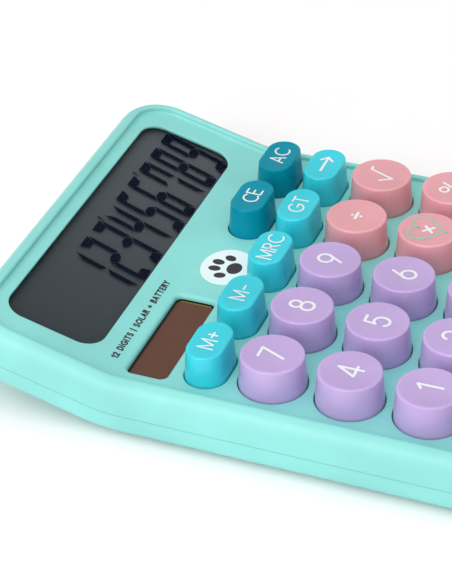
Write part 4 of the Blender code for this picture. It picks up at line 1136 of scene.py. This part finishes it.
@dataclass
class KeyCaps:
    """Hollow caps with rounded tops, each with its legend."""

    deck: Deck
    height: float = 9.78 * MM
    taper: float = 0.62 * MM
    oval_taper: Pair = (0.35 * MM, 0.85 * MM)
    top_round: float = 0.55 * MM
    disc_edge: float = 0.2 * MM
    disc_sunk: float = 0.04 * MM
    heart_half: float = 5.9 * MM
    heart_deep: float = 6.3 * MM
    heart_raised: float = 0.9 * MM
    heart_pen: float = 0.5 * MM
    heart_step: float = 0.3 * MM    # the least distance between its points
    wall: float = 1.4 * MM
    mouth: float = -3.1 * MM
    flange: float = 0.8 * MM
    stem: float = 2.2 * MM
    stem_below: float = 1.0 * MM

    def outline(self, name: str) -> Outline:
        """Return a key's outline where it passes the deck."""
        low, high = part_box(f"key_{name}")
        half_x = (high.x - low.x) / 2 - FLANGE_OUT
        half_y = (high.y - low.y) / 2 - FLANGE_OUT
        middle = (low + high) / 2
        return Outline(half_x, half_y, min(half_x, half_y), middle.x, middle.y - self.deck.row)

    def sections(self, base: Outline) -> list[Section]:
        """Return the cap's outlines and heights, from the top's edge round to the stem."""
        oval = base.half_y < base.half_x - MM
        by_x, by_y = self.oval_taper if oval else (self.taper, self.taper)
        top = base.resized(-by_x, -by_y)
        rounding = self.top_round
        sections = grown(top, arc((-rounding, self.height - rounding), (rounding, rounding), 90, 8, 6))
        roof = self.height - self.wall
        stem_x = self.stem + max(base.half_x - base.half_y, 0.0) / 2
        stem_y = self.stem + max(base.half_y - base.half_x, 0.0) / 2
        stem = Outline(stem_x, stem_y, self.stem, base.across, base.along)
        return sections + [
            (base, 0.0),
            (base, self.mouth + self.flange),
            (base.grown(FLANGE_OUT), self.mouth + self.flange),
            (base.grown(FLANGE_OUT), self.mouth),
            (base.grown(-self.wall), self.mouth),
            (top.grown(-self.wall), roof),
            (stem, roof),
            (stem, self.mouth - self.stem_below),
        ]

    def cap(self, base: Outline) -> bmesh.types.BMesh:
        """Return one cap."""
        mesh = bmesh.new()
        sections = self.sections(base)
        edge = sections[0][0].grown(-SUPPORT)
        start = edge.grown(-self.disc_edge)
        rim = start.ring(mesh, self.height - self.disc_sunk)
        last = sweep(mesh, rim, start, [(edge, self.height), *sections])
        fill(mesh, [rim])
        fill(mesh, [last])
        for vertex in mesh.verts:
            vertex.co = self.deck.flat(vertex.co)
        return mesh

    def heart(self, mesh: bmesh.types.BMesh, middle: Vector) -> None:
        """Draw a heart's outline round a legend.

        Args:
            mesh: The mesh to draw in, flat on its XY plane.
            middle: The legend's middle.
        """
        path: Path = []
        steps = 96
        for step in range(steps):
            turn = 2 * math.pi * step / steps
            across = math.sin(turn) ** 3
            up = (13 * math.cos(turn) - 5 * math.cos(2 * turn) - 2 * math.cos(3 * turn)
                  - math.cos(4 * turn)) / 16
            point = middle + Vector((self.heart_half * across, self.heart_deep * up + self.heart_raised))
            if not path or min((point - path[-1]).length, (point - path[0]).length) > self.heart_step:
                path.append(point)
        Pen(self.heart_pen).band(mesh, path, Pen.thick)

    def build(self, finishes: Finishes) -> None:
        """Make every cap and legend."""
        for name, legend in LEGENDS.items():
            node = f"key_{name}"
            base = self.outline(name)
            shade, slot = legend.shade.value
            add_piece(f"cap_{name}", self.cap(base), finishes[shade], node, [node])
            middle = Vector((base.across, base.along))
            top = self.height - self.disc_sunk
            to_top = Matrix.Translation(self.deck.flat(Vector((0.0, 0.0, top))))
            ink = bmesh.new()
            Lettering(legend.capital, Pen(legend.width)).write(ink, legend.text, middle)
            ink.transform(to_top)
            add_piece(f"legend_{name}", ink, finishes["white_ink"], node)
            if legend.heart:
                ink = bmesh.new()
                self.heart(ink, middle)
                ink.transform(to_top)
                add_piece(f"heart_{name}", ink, finishes["green_ink"], node)


# Display and solar cell

SEGMENTS_LIT = {
    "1": "bc", "2": "abged", "3": "abgcd", "4": "fgbc", "5": "afgcd",
    "6": "afgedc", "7": "abcf", "8": "abcdefg", "9": "abcdfg",
}


@dataclass
class Display:
    """Lens, liquid-crystal plate and the lit segments."""

    case: Case
    lens_top: float = -1.0 * MM
    lens_thick: float = 0.8 * MM
    lens_ledge: float = 1.0 * MM
    lens_round: float = 0.15 * MM
    plate_ledge: float = 1.6 * MM
    plate_top: float = -2.7 * MM
    plate_bottom: float = -4.3 * MM
    segment_height: float = -2.1 * MM
    pitch: float = 8.81 * MM
    digit_width: float = 6.0 * MM
    digit_height: float = 22.4 * MM
    digit_foot: float = 9.4 * MM       # up the slope from the bend's line
    right_end: float = 51.5 * MM       # across, of the last digit's foot
    upright: float = 1.6 * MM          # width of an upright segment
    level: float = 2.8 * MM            # depth of a level segment
    gap: float = 0.4 * MM
    slant: float = math.tan(math.radians(6.6))
    segment_thick: float = 0.05 * MM
    plate_corner: float = 0.8 * MM
    shown: str = "123456789"
    tick_from_digit: float = 0.75 * MM
    tick_above: float = 1.0 * MM       # of a thousands mark, over the digit's top
    tick_below: float = 1.2 * MM
    tick_right: float = 0.5 * MM
    tick_left: float = 0.35 * MM

    def segment(self, name: str) -> Path:
        """Return one segment's outline in a digit's own box, before it is slanted."""
        wide, high, gap = self.digit_width, self.digit_height, self.gap
        thin, deep = self.upright, self.level
        half = high / 2
        flip = name in "cde"
        if name in "ad":
            points = [(gap, high), (wide - gap, high), (wide - thin, high - deep), (thin, high - deep)]
        elif name in "bcef":
            points = [
                (wide, half + gap / 2), (wide, high - gap),
                (wide - thin, high - deep - gap), (wide - thin, half + deep / 2 + gap),
            ]
            if name in "ef":
                points = [(wide - x, y) for x, y in points]
        else:
            tip, inner = thin / 4, thin + gap / 2
            points = [
                (tip, half), (inner, half + deep / 2), (wide - inner, half + deep / 2),
                (wide - tip, half), (wide - inner, half - deep / 2), (inner, half - deep / 2),
            ]
        return [Vector((x, high - y if flip else y)) for x, y in points]

    def tick(self) -> Path:
        """Return the outline of a thousands mark, in the box of the digit before it."""
        right = self.digit_width + self.tick_from_digit
        top = self.digit_height + self.tick_above
        return line((right, self.digit_height - self.tick_below), (right + self.tick_right, top),
                    (right - self.tick_left, top))

    def plate_of(self, mesh: bmesh.types.BMesh, path: Path, left: float) -> None:
        """Add a thin slanted plate.

        Args:
            mesh: The mesh to add it to, flat.
            path: The plate's outline in a digit's own box.
            left: The box's left side, across.
        """
        corners = [
            mesh.verts.new((left + point.x + self.slant * point.y, self.digit_foot + point.y, 0.0))
            for point in path
        ]
        face = mesh.faces.new(corners)
        made = bmesh.ops.extrude_face_region(mesh, geom=[face], use_keep_orig=True)["geom"]
        for item in made:
            if isinstance(item, bmesh.types.BMVert):
                item.co.z = self.segment_thick

    def build(self, finishes: Finishes) -> None:
        """Make the pieces."""
        case = self.case
        deck = case.deck
        window = case.window
        lens = bmesh.new()
        edge = window.grown(self.lens_ledge)
        start = edge.grown(-self.lens_round - SUPPORT)
        rim = start.ring(lens, self.lens_top)
        rounding = [(growth - self.lens_round, self.lens_top + height) for growth, height in
                    arc((0.0, -self.lens_round), (self.lens_round, self.lens_round), 90, 0, 3)]
        under = sweep(lens, rim, start, grown(edge, rounding + [(0.0, self.lens_top - self.lens_thick)]))
        fill(lens, [rim])
        fill(lens, [under])
        deck.bend(lens)
        add_piece("display_lens", lens, finishes["lens"], "case", ["lcd_window"])

        plate = bmesh.new()
        back = Outline(
            window.half_x + self.plate_ledge, window.half_y + self.plate_ledge, self.plate_corner,
            window.across, window.along, steps=4,
        )
        rim = back.ring(plate, self.plate_top)
        under = sweep(plate, rim, back, [(back, self.plate_bottom)])
        fill(plate, [rim])
        fill(plate, [under])
        deck.bend(plate)
        add_piece("display_plate", plate, finishes["display"], "case", ["lcd_module"])

        digits = bmesh.new()
        for index, digit in enumerate(reversed(self.shown)):
            left = self.right_end - self.digit_width - index * self.pitch
            for name in SEGMENTS_LIT[digit]:
                self.plate_of(digits, self.segment(name), left)
            if index and index % 3 == 0:
                self.plate_of(digits, self.tick(), left)
        bend_to_along = deck.slope(0.0)
        for vertex in digits.verts:
            flat = Vector((vertex.co.x, vertex.co.y + bend_to_along, self.segment_height + vertex.co.z))
            vertex.co = deck.place(flat)
        add_piece("display_digits", digits, finishes["digit"], "case")


@dataclass
class SolarStrip:
    """Brown cell with a dark border and a gilt contact along one end."""

    case: Case
    window: Outline
    border: float = 0.55 * MM
    contact_wide: float = 0.5 * MM
    print_thick: float = 0.03 * MM

    def build(self, finishes: Finishes) -> None:
        """Dress the cell and add its border and contact."""
        _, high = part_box("solar_cell")
        dress("solar_cell", finishes["solar"])
        height = high.z - self.case.deck.surface
        frame_print = bmesh.new()
        inner = self.window.grown(-self.border)
        outer = self.window.grown(self.border)
        rings = [outline.ring(frame_print, height - SINK) for outline in (inner, outer)]
        faces = bmesh.ops.bridge_loops(frame_print, edges=rings[0] + rings[1])["faces"]
        made = bmesh.ops.extrude_face_region(frame_print, geom=faces, use_keep_orig=True)["geom"]
        for item in made:
            if isinstance(item, bmesh.types.BMVert):
                item.co.z = height + self.print_thick
        for vertex in frame_print.verts:
            vertex.co = self.case.deck.flat(vertex.co)
        add_piece("solar_border", frame_print, finishes["border"], "case")
        contact = bmesh.new()
        end = self.window.across + self.window.half_x - self.border
        row = self.case.deck.row + self.window.along
        half = self.window.half_y - self.border
        add_block(contact, (end - self.contact_wide, row - half, high.z - SINK),
                  (end, row + half, high.z + self.print_thick))
        add_piece("solar_contact", contact, finishes["gilt"], "case")


# Prints on the deck

@dataclass
class Prints:
    """The line of small print and the round badge on the deck."""

    deck: Deck
    text: str = "12 DIGITS | SOLAR + BATTERY"
    capital: float = 1.65 * MM
    pen: float = 0.52 * MM
    spacing: float = 0.4
    text_middle: Pair = (-34.0 * MM, 45.85 * MM)
    badge_middle: Pair = (-1.0 * MM, 32.2 * MM)
    badge_half: Pair = (9.2 * MM, 7.9 * MM)
    palm_offset: Pair = (0.0, -2.3 * MM)
    palm_half: Pair = (2.9 * MM, 2.3 * MM)
    outer_toe: tuple[Pair, Pair, float] = ((4.6 * MM, 0.6 * MM), (1.35 * MM, 1.8 * MM), 18.0)
    inner_toe: tuple[Pair, Pair, float] = ((1.7 * MM, 3.4 * MM), (1.35 * MM, 1.9 * MM), 5.0)
    thick: float = 0.02 * MM

    def disc(self, offset: Pair, half: Pair, turn: float, top: float,
             segments: int = 64) -> bmesh.types.BMesh:
        """Return a thin oval print of the badge, bent onto the deck.

        Args:
            offset: Its middle, from the badge's middle.
            half: Half its width and half its length.
            turn: How far it is turned, in degrees.
            top: The height of its upper face.
            segments: The sides of its outline.

        Returns:
            The print's mesh.
        """
        mesh = bmesh.new()
        thick = top + SINK
        across, along = (middle + by for middle, by in zip(self.badge_middle, offset))
        place = (
            Matrix.Translation((across, along, top - thick / 2))
            @ Matrix.Rotation(math.radians(turn), 4, "Z")
            @ Matrix.Diagonal((half[0], half[1], 1.0, 1.0))
        )
        bmesh.ops.create_cone(mesh, cap_ends=True, segments=segments, radius1=1.0, radius2=1.0,
                              depth=thick, matrix=place)
        self.deck.bend(mesh)
        return mesh

    def build(self, finishes: Finishes) -> None:
        """Make the prints."""
        words = bmesh.new()
        writer = Lettering(self.capital, Pen(self.pen), self.spacing)
        writer.write(words, self.text, Vector(self.text_middle))
        self.deck.bend(words)
        add_piece("small_print", words, finishes["dark_ink"], "case")
        badge = self.disc((0.0, 0.0), self.badge_half, 0.0, self.thick)
        add_piece("badge_disc", badge, finishes["badge_ink"], "case")
        toes = [(side, toe) for toe in (self.outer_toe, self.inner_toe) for side in (-1, 1)]
        pads = [(self.palm_offset, self.palm_half, 0.0)]
        pads += [((side * x, y), half, -side * turn) for side, ((x, y), half, turn) in toes]
        for number, (offset, half, turn) in enumerate(pads, start=1):
            pad = self.disc(offset, half, turn, 2 * self.thick, 32)
            add_piece(f"badge_pad_{number}", pad, finishes["dark_ink"], "case")


# Underside and inside

@dataclass
class Underside:
    """Battery door and feet, with their rounded edges."""

    door_round: float = 0.35 * MM
    tongue_short: float = 2.0 * MM     # of the tongues, before the door's rear end
    grips: int = 6
    grip_first: float = 4.5 * MM       # from the door's rear end
    grip_pitch: float = 1.8 * MM
    grip_half: float = 7.0 * MM
    grip_wide: float = 0.9 * MM
    grip_deep: float = 0.5 * MM
    grip_round: float = 0.2 * MM
    foot_round: float = 0.5 * MM

    def door(self) -> bmesh.types.BMesh:
        """Return the battery door, with a tongue at each side and its finger grips."""
        low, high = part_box("battery_door")
        door = bmesh.new()
        add_block(door, (low.x + DOOR_TONGUE, low.y, low.z), (high.x - DOOR_TONGUE, high.y, high.z),
                  self.door_round)
        tongues = bmesh.new()
        add_block(tongues, (low.x, low.y + self.door_round, low.z + TONGUE_ABOVE),
                  (high.x, high.y - self.tongue_short, high.z - self.door_round / 2))
        door = joined(door, tongues, "UNION")
        grips = bmesh.new()
        for rib in range(self.grips):
            start = high.y - self.grip_first - rib * self.grip_pitch
            add_block(grips, (-self.grip_half, start, low.z - MM),
                      (self.grip_half, start + self.grip_wide, low.z + self.grip_deep), self.grip_round)
        return joined(door, grips, "DIFFERENCE")

    def build(self, finishes: Finishes) -> None:
        """Make the pieces."""
        add_piece("door", self.door(), finishes["mint"], "battery_door", ["battery_door"])
        for name in FOOT_NODES:
            low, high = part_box(name)
            middle = (low + high) / 2
            radius = (high.x - low.x) / 2
            foot = bmesh.new()
            disc = Outline(radius, radius, radius, middle.x, middle.y)
            dish = disc.grown(-self.foot_round - SUPPORT)
            rim = dish.ring(foot, low.z)
            steps = arc((-self.foot_round, low.z + self.foot_round), (self.foot_round,) * 2, -90, 0)
            last = sweep(foot, rim, dish, grown(disc, steps + [(0.0, high.z)]))
            fill(foot, [rim])
            fill(foot, [last])
            add_piece(f"pad_{name}", foot, finishes["rubber"], "case", [name])


INSIDE = {
    "lcd_frame": "white_plastic",
    "lcd_ribbon": "film",
    "keypad_sheet": "silicone",
    "main_board": "board",
    "chip_resin": "resin",
    "capacitor": "resin",
    "battery_cell": "jacket",
    "battery_spring": "steel",
    "battery_plate": "steel",
    "battery_wire_minus": "black_wire",
    "battery_wire_plus": "red_wire",
    "solar_lead": "red_wire",
    **{f"case_screw_{number}": "steel" for number in range(1, 7)},
    **{f"board_screw_{number}": "steel" for number in range(1, 5)},
}


# Studio

@dataclass(frozen=True)
class SoftLight:
    """A square soft light that looks at the object."""

    name: str
    place: tuple[float, float, float]
    size: float
    power: float

    def build(self) -> None:
        """Hang the light."""
        data = bpy.data.lights.new(self.name, "AREA")
        data.shape = "SQUARE"
        data.size = self.size
        data.energy = self.power
        item = bpy.data.objects.new(self.name, data)
        item.location = self.place
        item.rotation_euler = (-Vector(self.place)).to_track_quat("-Z", "Y").to_euler()
        bpy.context.scene.collection.objects.link(item)


@dataclass
class Studio:
    """Pale floor, soft lights and the camera."""

    camera_place: tuple[float, float, float] = (-0.483417, -0.172841, 0.386180)
    camera_turn: tuple[float, float, float] = (54.2453, 1.5804, -68.5860)
    lens: float = 132.2
    shift: Pair = (-0.01088, -0.00967)
    clip: Pair = (0.01, 20.0)
    floor_half: float = 6.0
    sky: float = 0.6
    lights: tuple[SoftLight, ...] = (
        SoftLight("overhead", (0.0, 0.0, 2.0), 2.0, 14.0),
        SoftLight("key", (-1.25, 0.3, 0.62), 0.9, 8.5),
        SoftLight("glint", (-0.86, -0.2, 1.2), 0.35, 2.5),
    )

    def camera(self) -> None:
        """Place the camera."""
        data = bpy.data.cameras.new("camera")
        data.lens = self.lens
        data.shift_x, data.shift_y = self.shift
        data.clip_start, data.clip_end = self.clip
        item = bpy.data.objects.new("camera", data)
        item.location = self.camera_place
        item.rotation_euler = [math.radians(angle) for angle in self.camera_turn]
        bpy.context.scene.collection.objects.link(item)
        bpy.context.scene.camera = item

    def build(self, finishes: Finishes) -> None:
        """Make the floor, the lights and the camera."""
        floor = bmesh.new()
        bmesh.ops.create_grid(floor, x_segments=1, y_segments=1, size=self.floor_half)
        data = bpy.data.meshes.new("floor")
        floor.to_mesh(data)
        floor.free()
        data.materials.append(finishes["floor"])
        item = bpy.data.objects.new("floor", data)
        bpy.context.scene.collection.objects.link(item)
        world = bpy.data.worlds.new("studio")
        world.use_nodes = True
        sky = world.node_tree.nodes["Background"]
        sky.inputs["Color"].default_value = (1.0, 1.0, 1.0, 1.0)
        sky.inputs["Strength"].default_value = self.sky
        bpy.context.scene.world = world
        bpy.context.scene.view_settings.view_transform = "Standard"
        for light in self.lights:
            light.build()
        self.camera()


FINISHES = (
    Moulded("mint", (134, 211, 205), roughness=0.36, sheen=0.5, glow=0.12),
    Moulded("lilac", (186, 163, 211), roughness=0.24, glow=0.5, sheen=0.45),
    Moulded("pink", (222, 158, 165), roughness=0.24, glow=0.5, sheen=0.45),
    Moulded("cyan", (52, 202, 218), roughness=0.24, glow=0.4, sheen=0.45),
    Moulded("teal", (3, 138, 160), roughness=0.24, glow=0.2, sheen=0.12),
    Moulded("white_ink", (228, 228, 232), roughness=0.45, grain=0.1),
    Moulded("green_ink", (120, 205, 176), roughness=0.45, grain=0.1),
    Moulded("dark_ink", (52, 48, 52), roughness=0.45, grain=0.1),
    Moulded("badge_ink", (222, 236, 238), roughness=0.42, grain=0.1),
    Moulded("digit", (5, 11, 32), roughness=0.5, grain=0.0, tone=0.0, sheen=0.04),
    Moulded("border", (38, 30, 26), roughness=0.4, grain=0.1),
    Brushed("gilt", (205, 150, 70), roughness=0.3),
    Brushed("steel", (190, 192, 194), roughness=0.28),
    Lens("lens"),
    # painted reflection on the display plate: darker at the near end, lighter at the far end
    Graded("display", (50, 58, 62), (79, 84, 89), -0.054, 0.054),
    SolarGlass("solar", -0.03763, 9.6 * MM),
    Moulded("white_plastic", (224, 226, 224), roughness=0.5),
    Moulded("film", (196, 120, 52), roughness=0.35, coat=0.3),
    Moulded("silicone", (150, 152, 155), roughness=0.8),
    Moulded("rubber", (60, 62, 64), roughness=0.85, grain=0.8),
    Moulded("board", (30, 96, 62), roughness=0.4, coat=0.4),
    Moulded("resin", (22, 22, 24), roughness=0.35, coat=0.3),
    Moulded("jacket", (52, 60, 72), roughness=0.35, metallic=0.2),
    Moulded("red_wire", (178, 36, 34), roughness=0.5),
    Moulded("black_wire", (34, 34, 36), roughness=0.5),
    Moulded("floor", (254, 251, 251), roughness=0.6, grain=0.0, tone=0.004, sheen=0.1),
)


def main() -> None:
    """Build every sub-assembly and the studio."""
    logging.basicConfig(level=logging.INFO, format="%(message)s")
    finishes = Finishes(FINISHES)
    seven_low, seven_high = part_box("key_7")
    rear_low, rear_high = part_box("key_ce")
    shell_low, shell_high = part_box("top_shell")
    row = (seven_low.y + seven_high.y) / 2
    deck = Deck(
        row=row,
        surface=seven_high.z - KeyCaps.height,
        bend_line=rear_high.y - FLANGE_OUT - row + BEND_FROM_KEYS,
    )
    case = Case(deck, half_width=shell_high.x, front=shell_low.y - row)
    caps = KeyCaps(deck)
    cell_low, cell_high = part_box("solar_cell")
    cell = (cell_low + cell_high) / 2
    half = (cell_high - cell_low) / 2
    solar = Outline(
        half.x - CELL_LEDGE, half.y - CELL_LEDGE, SOLAR_CORNER, cell.x, cell.y - row
    )
    UpperShell(case, [caps.outline(name) for name in LEGENDS], solar).build(finishes)
    LowerShell(case).build(finishes)
    caps.build(finishes)
    Display(case).build(finishes)
    SolarStrip(case, solar).build(finishes)
    Prints(deck).build(finishes)
    Underside().build(finishes)
    for node, finish in INSIDE.items():
        dress(node, finishes[finish])
    Studio().build(finishes)


if __name__ == "__main__":
    main()
